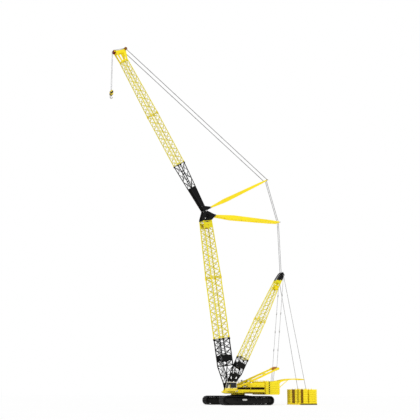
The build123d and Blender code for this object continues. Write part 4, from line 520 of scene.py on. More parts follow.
finishes = {
    "yellow_paint": yellow_paint, "black_paint": black_paint, "rope_steel": bar_steel, "cab_glass": cab_glass,
    "seat_plastic": seat_plastic, "sheave_orange": sheave_orange, "cream_paint": cream_paint,
    "sheave_red": sheave_red, "bare_steel": pin_steel,
}
track_nodes = {"track_frame_left", "track_frame_right", "track_wheels_left", "track_wheels_right", "car_body"}
own_finish = {
    "hook_block": hook_stripes, "jib_guide_sheaves": sheave_brown, "boom_lower": lattice_yellow,
    "boom_upper": lattice_yellow, "jib_lower": lattice_yellow, "jib_upper": lattice_yellow,
    "derrick_lower": lattice_yellow, "derrick_upper": lattice_yellow, "derrick_head": derrick_head_paint,
}
for row in frame["record"]["subparts"]:
    finish = track_black if row["node"] in track_nodes else own_finish.get(row["node"], finishes[row["material_slot"]])
    mesh = nodes[row["node"]].data
    mesh.materials.clear()
    mesh.materials.append(finish)


def loop_stations(runs):
    """Middle, forward direction and outward direction of track places, from their runs along the oval loop.

    The loop is a bottom straight, a half circle at the front, a top straight and a half circle at the rear.
    """
    straight = TRACK_LENGTH - TRACK_HEIGHT
    radius = (TRACK_HEIGHT - SHOE_THICKNESS) / 2
    arc = math.pi * radius
    total = 2 * straight + 2 * arc
    run = np.mod(runs, total)
    front = np.clip((run - straight) / radius, 0.0, math.pi)
    rear = np.clip((run - 2 * straight - arc) / radius, 0.0, math.pi)
    turn = front + rear
    bottom = np.clip(run, 0.0, straight)
    top = np.clip(run - straight - arc, 0.0, straight)
    x = -straight / 2 + bottom - top + radius * (np.sin(front) - np.sin(rear))
    z = TRACK_HEIGHT / 2 - radius * np.cos(turn)
    forward = np.stack([np.cos(turn), np.sin(turn)], -1)
    outward = np.stack([np.sin(turn), -np.cos(turn)], -1)
    return np.stack([x, z], -1), forward, outward, total


def track_shoes(y):
    """Shoes: a ribbed cross section, two lugs with a trough between, carried across the track at each place.

    On the bends the shoe sits lower by the sagitta of its half length, so that its corners keep to the oval.
    """
    pitch = loop_stations(np.zeros(1))[3] / SHOE_COUNT
    middle, forward, outward, _ = loop_stations((np.arange(SHOE_COUNT) + 0.5) * pitch)
    half, thick, cut, lug, trough = (pitch - SHOE_GAP) / 2, SHOE_THICKNESS / 2, 0.0015, 0.010, 0.0035
    outer = TRACK_HEIGHT / 2
    sagitta = outer - math.sqrt(outer**2 - half**2)
    bend = np.abs(outward[:, :1]) > 1e-6
    middle = middle - outward * np.where(bend, sagitta, 0.0)
    section = np.array([
        (-half, -thick), (half, -thick), (half, thick - cut), (half - cut, thick), (half - lug, thick),
        (half - lug - trough, thick - trough), (lug + trough - half, thick - trough), (lug - half, thick),
        (cut - half, thick), (-half, thick - cut),
    ])
    flat = middle[:, None] + section[None, :, :1] * forward[:, None] + section[None, :, 1:] * outward[:, None]
    sides = np.array([y - SHOE_WIDTH / 2, y + SHOE_WIDTH / 2])
    count = len(section)
    across = np.broadcast_to(sides[None, :, None, None], (SHOE_COUNT, 2, count, 1))
    flat = np.broadcast_to(flat[:, None], (SHOE_COUNT, 2, count, 2))
    points = np.concatenate([flat[..., :1], across, flat[..., 1:]], -1).reshape(-1, 3)
    i = np.arange(count)
    j = (i + 1) % count
    step = 2 * count * np.arange(SHOE_COUNT)[:, None]
    walls = (np.stack([i, i + count, j + count, j], 1)[None] + step[..., None]).reshape(-1, 4)
    return points, [walls[:, ::-1], i[::-1][None] + count + step, i[None] + step]


def link_band(y):
    """Chain band under the shoes: a flat cross section carried round the oval."""
    runs = np.linspace(0.0, loop_stations(np.zeros(1))[3], 120, endpoint=False)
    middle, _, outward, _ = loop_stations(runs)
    depths = np.array([-SHOE_THICKNESS / 2, -SHOE_THICKNESS / 2 - LINK_DEPTH + 0.0003])
    corners = np.array([(depths[0], 0.0), (depths[0], 1.0), (depths[1], 1.0), (depths[1], 0.0)])
    flat = middle[:, None] + corners[None, :, :1] * outward[:, None]
    across = np.broadcast_to(y + (corners[:, 1:] - 0.5) * (SHOE_WIDTH - 0.012), (len(runs), 4, 1))
    points = np.concatenate([flat[..., :1], across, flat[..., 1:]], -1).reshape(-1, 3)
    row = 4 * np.arange(len(runs))[:, None]
    ahead = np.roll(row, -1, axis=0)
    k = np.arange(4)
    n = (k + 1) % 4
    walls = np.stack([row + k, row + n, ahead + n, ahead + k], -1).reshape(-1, 4)
    return points, [walls]


for side, name in SIDES:
    shape = join(track_shoes(side * TRACK_Y), link_band(side * TRACK_Y))
    piece(f"track_shoes_{name}", shape, track_black, "undercarriage", (f"track_{name}",))

BOLT = ((0, 0), (0, 0.0055), (0.005, 0.0055), (0.0056, 0.0045), (0.0056, 0))


def hex_bolts(places, axis):
    """Hexagon heads standing on a face: a short six-sided spindle at each place."""
    return spindles(BOLT, places, axis, 6)


def bolt_circle(centre, radius, count, axis):
    """Bolts evenly round a circle across the axis, at the angles 2 pi k over the count."""
    t = np.arange(count) * 2.0 * math.pi / count
    if abs(axis[1]) > 0.5:
        ring = np.stack([np.cos(t), np.zeros(count), np.sin(t)], 1)
    else:
        ring = np.stack([np.cos(t), np.sin(t), np.zeros(count)], 1)
    return hex_bolts(np.asarray(centre) + radius * ring, axis)


def frame_fittings(side):
    """Roller bolts, drive-cover bolts, step loops and idler caps on the outside of a track frame.

    The bolts stand at even places along the rollers and round the drive; a step is a bar on two arms.
    """
    face, axis = side * FRAME_FACE, (0, side, 0)
    bolts = mesh_grid(even(10, 0.088), [face], [ROLLER_Z])
    drive = (-WHEEL_X, side * (FRAME_FACE + 0.016), WHEEL_Z)
    foot = mesh_grid(even(3, 0.30), [face], [0.150])
    reach = np.array([0.0, side * 0.028, 0.0])
    wide = np.array([0.045, 0.0, 0.0])
    ends = np.concatenate([foot - wide, foot + wide])
    loops = join(rods(ends, ends + reach, 0.004), rods(foot - wide + reach, foot + wide + reach, 0.004))
    idler = spindles(
        ((0, 0), (0, 0.020), (0.006, 0.020), (0.009, 0.014), (0.009, 0)),
        [(WHEEL_X, face - side * 0.001, WHEEL_Z)], axis,
    )
    return join(hex_bolts(bolts, axis), bolt_circle(drive, 0.030, 10, axis), loops, idler)


for side, name in SIDES:
    piece(f"track_frame_fittings_{name}", frame_fittings(side), track_black, "undercarriage")


def loop_guards(side):
    """Slide rails on a track frame between its carrier rollers, and a guard plate along the inside of the rollers."""
    rails = mesh_grid((-0.428, -0.165, 0.165, 0.428), (side * TRACK_Y,), (0.1715,))
    lengths = np.array([0.136, 0.270, 0.270, 0.136])[:, None] * (1, 0, 0) + (0, 0.030, 0.0170)
    guard = blocks([(0, side * (TRACK_Y - 0.0600), 0.0450)], (1.010, 0.0040, 0.0400), 0.001)
    return join(blocks(rails, lengths, 0.002), guard)


for side, name in SIDES:
    piece(f"track_loop_guards_{name}", loop_guards(side), track_black, "undercarriage")
piece("blank_side_plate", blocks([(0.08, FRAME_FACE + 0.0012, 0.119)], (0.112, 0.004, 0.036), 0.0012), plate_grey,
      "undercarriage")
piece("slewing_ring_bolts", bolt_circle((0, 0, 0.215), 0.176, 36, (0, 0, 1)), track_black, "undercarriage")


def louvres(middles, face, side):
    """Louvre panels on an outer wall: a thin back plate and five leaning blades to each panel."""
    width = middles[1] - middles[0] - 0.0012
    plates = blocks(mesh_grid(middles, [face + side * 0.0006], [LOUVRE_Z]), (width, 0.0036, 0.050), 0.0008)
    places = mesh_grid(middles, [face + side * 0.0038], LOUVRE_Z + even(5, 0.0086))
    lean = math.radians(38.0) * side
    axes = [(1, 0, 0), (0, math.cos(lean), -math.sin(lean)), (0, math.sin(lean), math.cos(lean))]
    return join(plates, blocks(places, (width - 0.006, 0.0088, 0.0020), 0.0005, axes))


def house_doors(side):
    """Door panels on a house's outer wall, each with two hinge barrels."""
    middles = HOUSE_MIDDLE + even(DOOR_COUNT, DOOR_PITCH)
    face = side * (WING_EDGE + 0.0012)
    panels = blocks(mesh_grid(middles, [face], [DOOR_Z]), (0.104, 0.004, 0.070), 0.0014)
    low = mesh_grid(middles - 0.048, [side * (WING_EDGE + 0.0045)], [0.408, 0.447])
    return join(panels, rods(low, low + np.array([0, 0, 0.014]), 0.0028))


def house_handles(side):
    """Latch handles of the door panels: a bar on two short studs."""
    middles = HOUSE_MIDDLE + even(DOOR_COUNT, DOOR_PITCH) + 0.040
    face = side * (WING_EDGE + 0.003)
    low = mesh_grid(middles, [face], [0.418, 0.434])
    reach = np.array([0, side * 0.006, 0])
    bars = mesh_grid(middles, [face + side * 0.006], [0.414])
    return join(rods(low, low + reach, 0.0016, 6), rods(bars, bars + np.array([0, 0, 0.024]), 0.0022))


def railing(start, end, posts, height):
    """Hand rail on posts: evenly spaced uprights with a top rail and a knee rail."""
    t = np.linspace(0.0, 1.0, posts)[:, None]
    feet = np.asarray(start) * (1 - t) + np.asarray(end) * t
    up = np.array([0, 0, height])
    ends = np.array([feet[0] + up, feet[0] + 0.55 * up]), np.array([feet[-1] + up, feet[-1] + 0.55 * up])
    caps = spindles(((-0.0034, 0), (0, 0.0034), (0.0034, 0)), feet + up, (0, 0, 1), 8)
    return join(rods(feet, feet + up, 0.0028), rods(*ends, 0.0028), caps)


TANK_FRONT, TANK_REAR, TANK_INNER, TANK_TOP = 0.174, HOUSE_FRONT + 0.002, 0.262, 0.398
TANK_MIDDLE = (TANK_FRONT + TANK_REAR) / 2
RAIL_Y = WING_EDGE - 0.006
for side, name in SIDES:
    panels = louvres(HOUSE_MIDDLE + even(GRILLE_COUNT, GRILLE_PITCH), side * WING_EDGE, side)
    piece(f"house_louvres_{name}", panels, louvre_black, "superstructure")
    piece(f"house_doors_{name}", house_doors(side), yellow_paint, "superstructure")
    piece(f"house_door_handles_{name}", house_handles(side), black_paint, "superstructure")
    wing_end, rail_foot = (0.100, TANK_TOP) if side == 1 else (0.190, DECK_TOP)
    rails = join(
        railing((HOUSE_FRONT - 0.012, side * RAIL_Y, HOUSE_TOP), (HOUSE_REAR + 0.012, side * RAIL_Y, HOUSE_TOP), 5,
                0.060),
        railing((-0.138, side * RAIL_Y, rail_foot), (wing_end, side * RAIL_Y, rail_foot), 4, 0.070),
    )
    piece(f"deck_railing_{name}", rails, yellow_paint, "superstructure", smooth=True)

tank_size = (TANK_FRONT - TANK_REAR, WING_EDGE - TANK_INNER - 0.002, TANK_TOP - DECK_TOP)
tank_middle = (TANK_MIDDLE, (WING_EDGE + TANK_INNER) / 2 - 0.001, (TANK_TOP + DECK_TOP) / 2)
straps = mesh_grid(TANK_MIDDLE + even(2, 0.22), [tank_middle[1]], [TANK_TOP + 0.001])
caps = spindles(((0, 0), (0, 0.012), (0.007, 0.012), (0.009, 0.009), (0.009, 0)),
                mesh_grid((TANK_MIDDLE - 0.06, TANK_MIDDLE + 0.06), (0.290,), (TANK_TOP - 0.001,)), (0, 0, 1), 16)
tank = join(blocks([tank_middle], tank_size, 0.006), blocks(straps, (0.014, tank_size[1] - 0.004, 0.004), 0.001), caps)
piece("side_tank", tank, yellow_paint, "superstructure")
# Dark brown strips along the lower edge of both deck sides: painted shade for the deck's underside edge.
edge_strips = mesh_grid((-0.2400,), (-WING_EDGE - 0.0006, WING_EDGE + 0.0006), (0.2775,))
piece("deck_edge_strips", blocks(edge_strips, (0.540, 0.0030, 0.0140), 0.0008), edge_brown, "superstructure")
piece("side_tank_louvres", louvres(TANK_MIDDLE + even(6, 0.0535), WING_EDGE - 0.002, 1), louvre_black,
      "superstructure")

EXHAUST_X, EXHAUST_Y, SILENCER_X, SILENCER_Z = -0.240, -0.270, -0.370, HOUSE_TOP + 0.022
pipe = spindles(
    ((0, 0), (0, 0.020), (0.004, 0.020), (0.004, 0.012), (0.074, 0.012), (0.074, 0.0105), (0.040, 0.0105), (0.040, 0)),
    [(EXHAUST_X, EXHAUST_Y, HOUSE_TOP)], (0, 0, 1),
)
silencer = spindles(
    ((-0.062, 0), (-0.062, 0.014), (-0.056, 0.020), (0.056, 0.020), (0.062, 0.014), (0.062, 0)),
    [(SILENCER_X, EXHAUST_Y, SILENCER_Z)], (1, 0, 0),
)
neck = rods([(-0.315, EXHAUST_Y, SILENCER_Z)], [(-0.246, EXHAUST_Y, SILENCER_Z)], 0.008)
saddles = blocks(mesh_grid((-0.410, -0.330), (EXHAUST_Y,), (HOUSE_TOP + 0.004,)), (0.012, 0.034, 0.012), 0.002)
piece("exhaust", join(pipe, silencer, neck, saddles), black_paint, "superstructure", smooth=True)


def winding(centre, core, half, rope):
    """Rope wound on a drum: a sleeve whose radius follows the half circles of rope lying side by side."""
    turns = int(2 * half / (2 * rope))
    t = np.linspace(0.0, math.pi, 5)[:-1]
    starts = -half + 2 * half * np.arange(turns)[:, None] / turns
    width = half / turns
    offset = (starts + width * (1 - np.cos(t))).ravel()
    radius = (core + rope * (0.25 + np.sin(t)) + 0 * starts).ravel()
    profile = np.concatenate([
        [(-half, 0.0)], np.stack([offset, radius], 1), [(half, core + 0.25 * rope), (half, 0.0)],
    ])
    return spindles(profile, [centre], (0, 1, 0), 40)


def drum_caps(centre, reach, radius):
    """Gearbox covers at both ends of a drum: a stepped disc with a bolt circle."""
    cover = ((0, 0), (0, radius), (0.007, radius), (0.010, 0.6 * radius), (0.014, 0.55 * radius), (0.014, 0))
    shapes = []
    for side in (-1, 1):
        foot = np.asarray(centre) + np.array([0, side * reach, 0])
        bolts = bolt_circle(foot + (0, side * 0.006, 0), 0.8 * radius, 8, (0, side, 0))
        shapes += [spindles(cover, [foot], (0, side, 0)), bolts]
    return join(*shapes)


def on_boom(points):
    """Frame places of points on the boom."""
    return along(FOOT, BOOM_ANGLE, points)


def on_jib(points):
    """Frame places of points on the jib."""
    return along(JIB_PIVOT, JIB_ANGLE, points)


def on_derrick(points):
    """Frame places of points on the derrick mast."""
    return along(FOOT, DERRICK_ANGLE, points)


BOOM_DRUM = on_boom((0, 0, 0.7079))
DERRICK_DRUM = on_derrick((0, 0, 0.6083))
windings = (
    ("hoist_winding", (HOIST_WINCH_X, 0, WINCH_AXIS_Z), WINCH_CORE, WINCH_HALF, "superstructure"),
    ("luffing_winding", (LUFFING_WINCH_X, 0, WINCH_AXIS_Z), WINCH_CORE, WINCH_HALF, "superstructure"),
    ("boom_winding", BOOM_DRUM, 0.058, 0.1095, "boom"),
    ("derrick_winding", DERRICK_DRUM, 0.044, 0.0615, "derrick"),
)
for name, centre, core, half, body in windings:
    piece(name, winding(centre, core, half - 0.0005, ROPE_RADIUS), bar_steel, body, smooth=True)
for name, x in (("hoist", HOIST_WINCH_X), ("luffing", LUFFING_WINCH_X)):
    piece(f"{name}_winch_caps", drum_caps((x, 0, WINCH_AXIS_Z), 0.1275, 0.026), black_paint, "superstructure",
          smooth=True)

BOLLARD = (
    (0, 0), (0, 0.013), (0.003, 0.013), (0.005, 0.007), (0.013, 0.007), (0.015, 0.012), (0.018, 0.012), (0.019, 0),
)
# Counterweights of the superstructure: slabs with a seam between, and a column of notches on both outer sides
WEIGHT_LOW, WEIGHT_HIGH, WEIGHT_SLABS, SLAB_SEAM = 0.250, 0.530, 7, 0.004
NOTCH_X, NOTCH_Y = -0.6325, 0.3390
SLAB_PITCH = (WEIGHT_HIGH - WEIGHT_LOW + SLAB_SEAM) / WEIGHT_SLABS
weight_tops = mesh_grid((-0.620, -0.825), (-0.305, -0.230, 0.230, 0.305), (WEIGHT_HIGH,))
piece("counterweight_bollards", spindles(BOLLARD, weight_tops, (0, 0, 1), 16), yellow_paint, "superstructure",
      smooth=True)
notch_heights = WEIGHT_LOW + (np.arange(WEIGHT_SLABS) + 0.5) * SLAB_PITCH - SLAB_SEAM / 2
notches = mesh_grid((NOTCH_X,), (-NOTCH_Y, NOTCH_Y), notch_heights)
# Black plates set into the notches: painted shade for the recesses.
piece("counterweight_notch_plates", blocks(notches, (0.0370, 0.0040, 0.0235), 0.0008), black_paint, "superstructure")
between = mesh_grid((NOTCH_X,), (0.0015 - NOTCH_Y, NOTCH_Y - 0.0015), notch_heights[:-1] + SLAB_PITCH / 2)
piece("counterweight_notch_bridges", blocks(between, (0.0290, 0.0040, 0.0165), 0.0008), yellow_paint, "superstructure")

# Hung ballast: two rows of stacks on a tray
STACK_XS, TRAY_X, TRAY_SIDE, BALLAST_FRONT = (-1.5688, -1.8163), -1.6925, 0.300, -1.4600
BALLAST_LOW, BALLAST_HIGH, BALLAST_SLABS = 0.040, 0.355, 8
ballast_pitch = (BALLAST_HIGH - BALLAST_LOW + SLAB_SEAM) / BALLAST_SLABS
slab_middles = BALLAST_LOW - SLAB_SEAM / 2 + (np.arange(BALLAST_SLABS) + 0.5) * ballast_pitch
slab_height = ballast_pitch - SLAB_SEAM


def both_sides(x, gap, heights):
    """Places at the given lengths and heights on both outer sides of the tray, a gap out from them."""
    return mesh_grid(x, (-TRAY_SIDE - gap, TRAY_SIDE + gap), heights)


stack_tops = mesh_grid(STACK_XS, (-0.230, -0.090, 0.090, 0.230), (BALLAST_HIGH,))
piece("ballast_bollards", spindles(BOLLARD, stack_tops, (0, 0, 1), 16), yellow_paint, "superstructure",
      smooth=True)
# Dark brown strip on each outer side by the front corner: painted shade of that corner.
side_shade_places = both_sides((-1.5150,), 0.0008, slab_middles)
piece("ballast_side_pads", blocks(side_shade_places, (0.0720, 0.0024, slab_height), 0.001), ballast_brown, "superstructure")
# Dark brown strip set into the gap between the front stacks: painted shade of that gap.
front_shade_places = mesh_grid((BALLAST_FRONT - 0.0045,), (0.0,), slab_middles)
piece("ballast_front_pads", blocks(front_shade_places, (0.006, 0.122, slab_height), 0.0015), ballast_brown, "superstructure")
seams = mesh_grid((BALLAST_FRONT,), (-0.262, -0.205, 0.185, 0.225), ((BALLAST_LOW + BALLAST_HIGH) / 2,))
piece("ballast_front_seams", blocks(seams, (0.0040, 0.020, 0.300), 0.001), seam_olive, "superstructure")
notch_blocks = both_sides(STACK_XS, -0.0055, slab_middles)
piece("ballast_notch_blocks", blocks(notch_blocks, (0.0838, 0.011, slab_height), 0.001), yellow_paint, "superstructure")
rims = both_sides((TRAY_X,), 0.0012, (0.0270,))
piece("tray_rims", blocks(rims, (0.455, 0.0040, 0.0220), 0.001), seam_olive, "superstructure")
skids = both_sides((TRAY_X,), 0.0015, (0.007,))
piece("tray_skids", blocks(skids, (0.455, 0.010, 0.014), 0.002), black_paint, "superstructure")


def member_axes(place):
    """A member's front, across and length directions, from two places one metre apart along it."""
    axis = place((0, 0, 1)) - place((0, 0, 0))
    return [(axis[2], 0, -axis[0]), (0, 1, 0), tuple(axis)]


def section_joints(place, half, joints, size, upper):
    """Fork joints between lattice lengths at the four chords: two cheeks below or a tongue above each joint."""
    corners = mesh_grid((-half[0], half[0]), (-half[1], half[1]), joints)
    axes = member_axes(place)
    if upper:
        return blocks(place(corners + (0, 0, 0.55 * size)), (size, 0.42 * size, 1.5 * size), 0.1 * size, axes)
    cheeks = np.concatenate([corners + (0, 0.36 * size, -0.55 * size), corners + (0, -0.36 * size, -0.55 * size)])
    return blocks(place(cheeks), (size, 0.26 * size, 1.5 * size), 0.06 * size, axes)


def joint_pins(place, half, joints, size):
    """Pins through the fork joints, each with a larger head at its outer end."""
    corners = mesh_grid((-half[0], half[0]), (-half[1], half[1]), joints)
    across = np.array([0, 0.72 * size, 0])
    middles = place(corners)
    heads = rods(middles + across, middles + 1.15 * across, 0.24 * size, 6)
    return join(rods(middles - across, middles + across, 0.16 * size), heads)


def lattice_tubes(place, ends, halves, bays, chord, tube, lace):
    """Round tubes over a lattice length: its chords, its lacing with a thinner tube across it, and the end squares.

    A chord point is the half depth and half width at its height, with the signs of its corner. A lacing tube goes from
    one chord to the next up a bay, one way in even bays and the other in odd ones, and the thin tube the other way.
    """
    signs = np.array([(1, 1), (1, -1), (-1, -1), (-1, 1)])

    def corner(index, z):
        """Places on chords at the given heights, from the halves at both ends in shares of the height."""
        share = ((z - ends[0]) / (ends[1] - ends[0]))[..., None]
        half = np.asarray(halves[0]) * (1 - share) + np.asarray(halves[1]) * share
        return place(np.concatenate([signs[index % 4] * half, z[..., None]], -1))

    low, high = ends[0] + chord, ends[1] - chord
    face, bay = mesh_grid(np.arange(4), np.arange(bays)).T
    even_bay = (face + bay) % 2 == 0
    starts = corner(np.where(even_bay, face, face + 1), low + (high - low) * bay / bays)
    stops = corner(np.where(even_bay, face + 1, face), low + (high - low) * (bay + 1) / bays)
    k, level = mesh_grid(np.arange(4), np.arange(2)).T
    squares = corner(k, np.where(level == 0, low, high)), corner(k + 1, np.where(level == 0, low, high))
    k = np.arange(4)
    chords = rods(corner(k, np.full(4, ends[0])), corner(k, np.full(4, ends[1])), tube, 20)
    thin = 0.62 * lace
    turned = corner(np.where(even_bay, face + 1, face), low + (high - low) * bay / bays)
    upper = corner(np.where(even_bay, face, face + 1), low + (high - low) * (bay + 1) / bays)
    return join(chords, rods(starts, stops, lace, 10), rods(turned, upper, thin, 8), rods(*squares, lace, 10))


members = (
    ("boom", on_boom, BOOM_ENDS, BOOM_HALVES, (5, 11, 11), 0.012, 0.0133, 0.0076, 0.036),
    ("jib", on_jib, JIB_ENDS, JIB_HALVES, (3, 12, 13), 0.009, 0.0100, 0.0060, 0.028),
    ("derrick", on_derrick, DERRICK_ENDS, DERRICK_HALVES, (3, 8, 9), 0.009, 0.0100, 0.0060, 0.028),
)
for name, place, ends, halves, bays, chord, tube, lace, size in members:
    for i, (part, finish, slot) in enumerate((
        ("foot", black_paint, "black_paint"), ("lower", lattice_yellow, "yellow_paint"),
        ("upper", lattice_yellow, "yellow_paint"),
    )):
        tubes = lattice_tubes(place, ends[i:i + 2], halves[i:i + 2], bays[i], chord, tube, lace)
        piece(f"{name}_{part}_tubes", tubes, finish, name, smooth=True)
    half, joints = halves[1], ends[1:3]
    piece(f"{name}_foot_forks", section_joints(place, half, joints[:1], size, False), black_paint, name)
    piece(f"{name}_middle_forks", section_joints(place, half, joints[1:], size, False), yellow_paint, name)
    piece(f"{name}_tongues", section_joints(place, half, joints, size, True), yellow_paint, name)
    piece(f"{name}_joint_pins", joint_pins(place, half, joints, size), pin_steel, name)


def sheave_housing(place, centre, size, radius):
    """Sheave housing in a lattice: two cheek plates across the member, tie bolts and grooved sheaves between them."""
    c = np.asarray(centre, float)
    cheeks = place(c + mesh_grid((0,), (-size[1] / 2, size[1] / 2), (0,)))
    plates = blocks(cheeks, (size[0], 0.006, size[2]), 0.002, member_axes(place))
    ties = c + mesh_grid((-0.4 * size[0], 0.4 * size[0]), (-size[1] / 2,), (-0.42 * size[2], 0.42 * size[2]))
    bolts = rods(place(ties), place(ties + (0, size[1], 0)), 0.004)
    groove = (
        (-0.008, 0), (-0.008, radius), (-0.005, radius), (0, 0.86 * radius), (0.005, radius), (0.008, radius),
        (0.008, 0),
    )
    wheels = spindles(groove, place(c + mesh_grid((0,), even(3, size[1] / 4), (0,))), (0, 1, 0), 28)
    return join(plates, bolts), wheels


housing_middle = (-0.012, 0, DERRICK_ENDS[3] - 0.120)
housing, housing_sheaves = sheave_housing(on_derrick, housing_middle, (0.092, 0.100, 0.120), 0.036)
piece("derrick_sheave_housing", housing, yellow_paint, "derrick")
piece("derrick_housing_sheaves", housing_sheaves, sheave_orange, "derrick", smooth=True)


def ladder(place, low, high, half, rungs):
    """Ladder on a member from a low to a high point in its middle plane: two stiles and evenly spaced rungs."""
    low, high = np.asarray(low), np.asarray(high)
    wide = np.array([0, half, 0])
    share = (np.arange(rungs) + 1.0)[:, None] / (rungs + 1)
    steps = low * (1 - share) + high * share
    stiles = rods(place(np.stack([low - wide, low + wide])), place(np.stack([high - wide, high + wide])), 0.0048, 10)
    return join(stiles, rods(place(steps - wide), place(steps + wide), 0.0038))


LADDER_KNEE = (0.098, 0.0, BOOM_ENDS[0])
ladders = join(
    ladder(on_boom, LADDER_KNEE, (LADDER_KNEE[0], 0.0, BOOM_ENDS[1] - 0.006), 0.042, 18),
    ladder(on_boom, (0.030, 0.0, 0.150), LADDER_KNEE, 0.042, 11),
)
piece("boom_foot_ladder", ladders, black_paint, "boom", smooth=True)


def leg_bracing(place, knee, depth, half, bays, radius):
    """Crossed tubes between the two legs of a foot, on the front and the back, as the depth runs out to the pin."""
    face, bay, way = mesh_grid((-1, 1), np.arange(bays), (-1, 1)).T
    low = knee * (0.34 + 0.62 * bay / bays)
    high = knee * (0.34 + 0.62 * (bay + 1) / bays)
    starts = np.stack([face * depth * low / knee, way * half, low], -1)
    return rods(place(starts), place(np.stack([face * depth * high / knee, -way * half, high], -1)), radius, 10)


bracing = leg_bracing(on_boom, BOOM_ENDS[0], 0.110, 0.148, 2, 0.0064)
piece("boom_leg_bracing", bracing, black_paint, "boom", smooth=True)


def rope_object(name, shape, strands):
    """Rope of a shape, with its map of turns round and metres along given for each face corner in turn."""
    obj = mesh_object(name, shape, rope_steel)
    obj.data.shade_smooth()
    obj.data.uv_layers.new(name="strands").data.foreach_set("uv", strands)
    return obj


def ropes(name, starts, ends, radius, first, second=None, replaced=()):
    """Straight wire ropes with a ring of points at each end only and a map of turns round and metres along.

    Between two bodies the rope is baked where it lies and rides on neither; otherwise it rides on the first.
    """
    starts, ends = np.asarray(starts, float), np.asarray(ends, float)
    sides = 8
    turn = np.arange(sides) / sides
    ahead = turn + 1.0 / sides
    length = np.linalg.norm(ends - starts, axis=1)[:, None]
    zero = np.zeros((len(starts), sides))
    u = np.stack(np.broadcast_arrays(turn + zero, ahead + zero, ahead + zero, turn + zero), -1)
    v = np.stack(np.broadcast_arrays(zero, zero, length + zero, length + zero), -1)
    walls = np.stack([u, v], -1).reshape(-1)
    caps = np.zeros(2 * 2 * sides * len(starts))
    obj = rope_object(name, rods(starts, ends, radius, sides), np.concatenate([walls, caps]))
    obj.data.set_sharp_from_angle(angle=math.radians(60))
    if second:
        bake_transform(obj)
    else:
        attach(obj, first)
    if replaced:
        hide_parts(*replaced)


FRONT_TIP = along(on_jib((-0.149, 0, 0.013)), FRONT_STRUT_ANGLE, (0, 0, STRUT_LENGTH))
REAR_TIP = along(on_boom((-0.218, 0, 3.995)), REAR_STRUT_ANGLE, (0, 0, STRUT_LENGTH))
DERRICK_TOP = on_derrick((0, 0, DERRICK_LENGTH))


def falls(start, end, ys, start_seat, end_seat, end_ys=None):
    """Start and end points of parallel falls, each end drawn back along the line to its seat."""
    way = (end - start) / np.linalg.norm(end - start)
    ys = np.asarray(ys, float)[:, None] * (0, 1, 0)
    far = ys if end_ys is None else np.asarray(end_ys, float)[:, None] * (0, 1, 0)
    return start + start_seat * way + ys, end - end_seat * way + far


ROPE_PAIR, HEAD_PAIR, HEAD_ROPE = 0.0045, 0.0029, 0.0028
SHEAVE_YS = (-0.028, 0.028)


def paired(middles, half):
    """Places of rope pairs across a member: half a pair's width to both sides of each middle."""
    return np.add.outer(middles, (-half, half)).ravel()


luffing_ys = np.array([-0.039, -0.030, -0.021, 0.021, 0.030, 0.039])
ropes("jib_luffing_falls", *falls(FRONT_TIP, REAR_TIP, luffing_ys, 0.0108, 0.0108), ROPE_RADIUS, "jib", "boom",
      ("jib_luffing_ropes",))
ropes("boom_luffing_falls", *falls(REAR_TIP, DERRICK_TOP, luffing_ys, 0.0125, 0.0402), ROPE_RADIUS, "boom", "derrick",
      ("boom_luffing_ropes",))
gantry_low, gantry_high = np.array([-0.893, 0, 0.5405]), np.array([-0.9300, 0, 0.7962])
gantry_ys = paired((-0.056, 0.0, 0.056), ROPE_PAIR)
ropes("gantry_falls", *falls(gantry_low, gantry_high, gantry_ys, 0.0, 0.0), ROPE_RADIUS, "superstructure", "gantry",
      ("gantry_ropes",))
yoke = np.array([TRAY_X, 0, 0.372])
tray_ys, top_ys = paired((-0.185, 0.185), ROPE_PAIR), paired((-0.122, 0.122), ROPE_PAIR)
ropes("ballast_falls", *falls(yoke, DERRICK_TOP, tray_ys, 0.0, 0.0117, top_ys), THICK_ROPE, "superstructure", "derrick",
      ("ballast_ropes",))
HOIST_REACH, HOIST_DROP = 0.0419, 0.9404
hoist_top = np.array([TIP[0] + HOIST_REACH, 0, TIP[2]])
hoist_low = hoist_top - (0, 0, HOIST_DROP)
hoist_ys = paired(SHEAVE_YS, ROPE_PAIR)
ropes("hoist_falls", *falls(hoist_top, hoist_low, hoist_ys, 0.0, 0.0), THICK_ROPE, "hoist_line", "hook_block",
      ("hoist_ropes",))


def rope_wraps(name, centre, reach, ys, radius, turned, body):
    """Ropes lying round a sheave: a ring of points carried along an arc about the sheave's axis, with both ends closed.

    The arc starts level in front of the axis and goes up over it. The map is turns round and metres along.
    """
    steps, sides = 14, 8
    turn = np.linspace(0.0, turned, steps + 1)[None, :, None]
    ring = (np.arange(sides) * 2 * math.pi / sides)[None, None, :]
    out = reach + radius * np.cos(ring)
    across = np.asarray(ys)[:, None, None] + radius * np.sin(ring)
    points = np.stack(np.broadcast_arrays(out * np.cos(turn), across, out * np.sin(turn)), -1).reshape(-1, 3) + centre
    rope, step, side = mesh_grid(np.arange(len(ys)), np.arange(steps), np.arange(sides)).astype(int).T
    ahead, first = (side + 1) % sides, (rope * (steps + 1) + step) * sides
    walls = np.stack([first + ahead, first + sides + ahead, first + sides + side, first + side], -1)
    base = np.arange(len(ys))[:, None] * (steps + 1) * sides
    caps = np.concatenate([base + np.arange(sides)[::-1], base + steps * sides + np.arange(sides)])
    u = np.stack([side + 1, side + 1, side, side], -1) / sides
    v = np.stack([step, step + 1, step + 1, step], -1) * reach * turned / steps
    strands = np.concatenate([np.stack([u, v], -1).reshape(-1), np.zeros(2 * caps.size)])
    obj = rope_object(name, (points, [walls, caps]), strands)
    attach(obj, body)


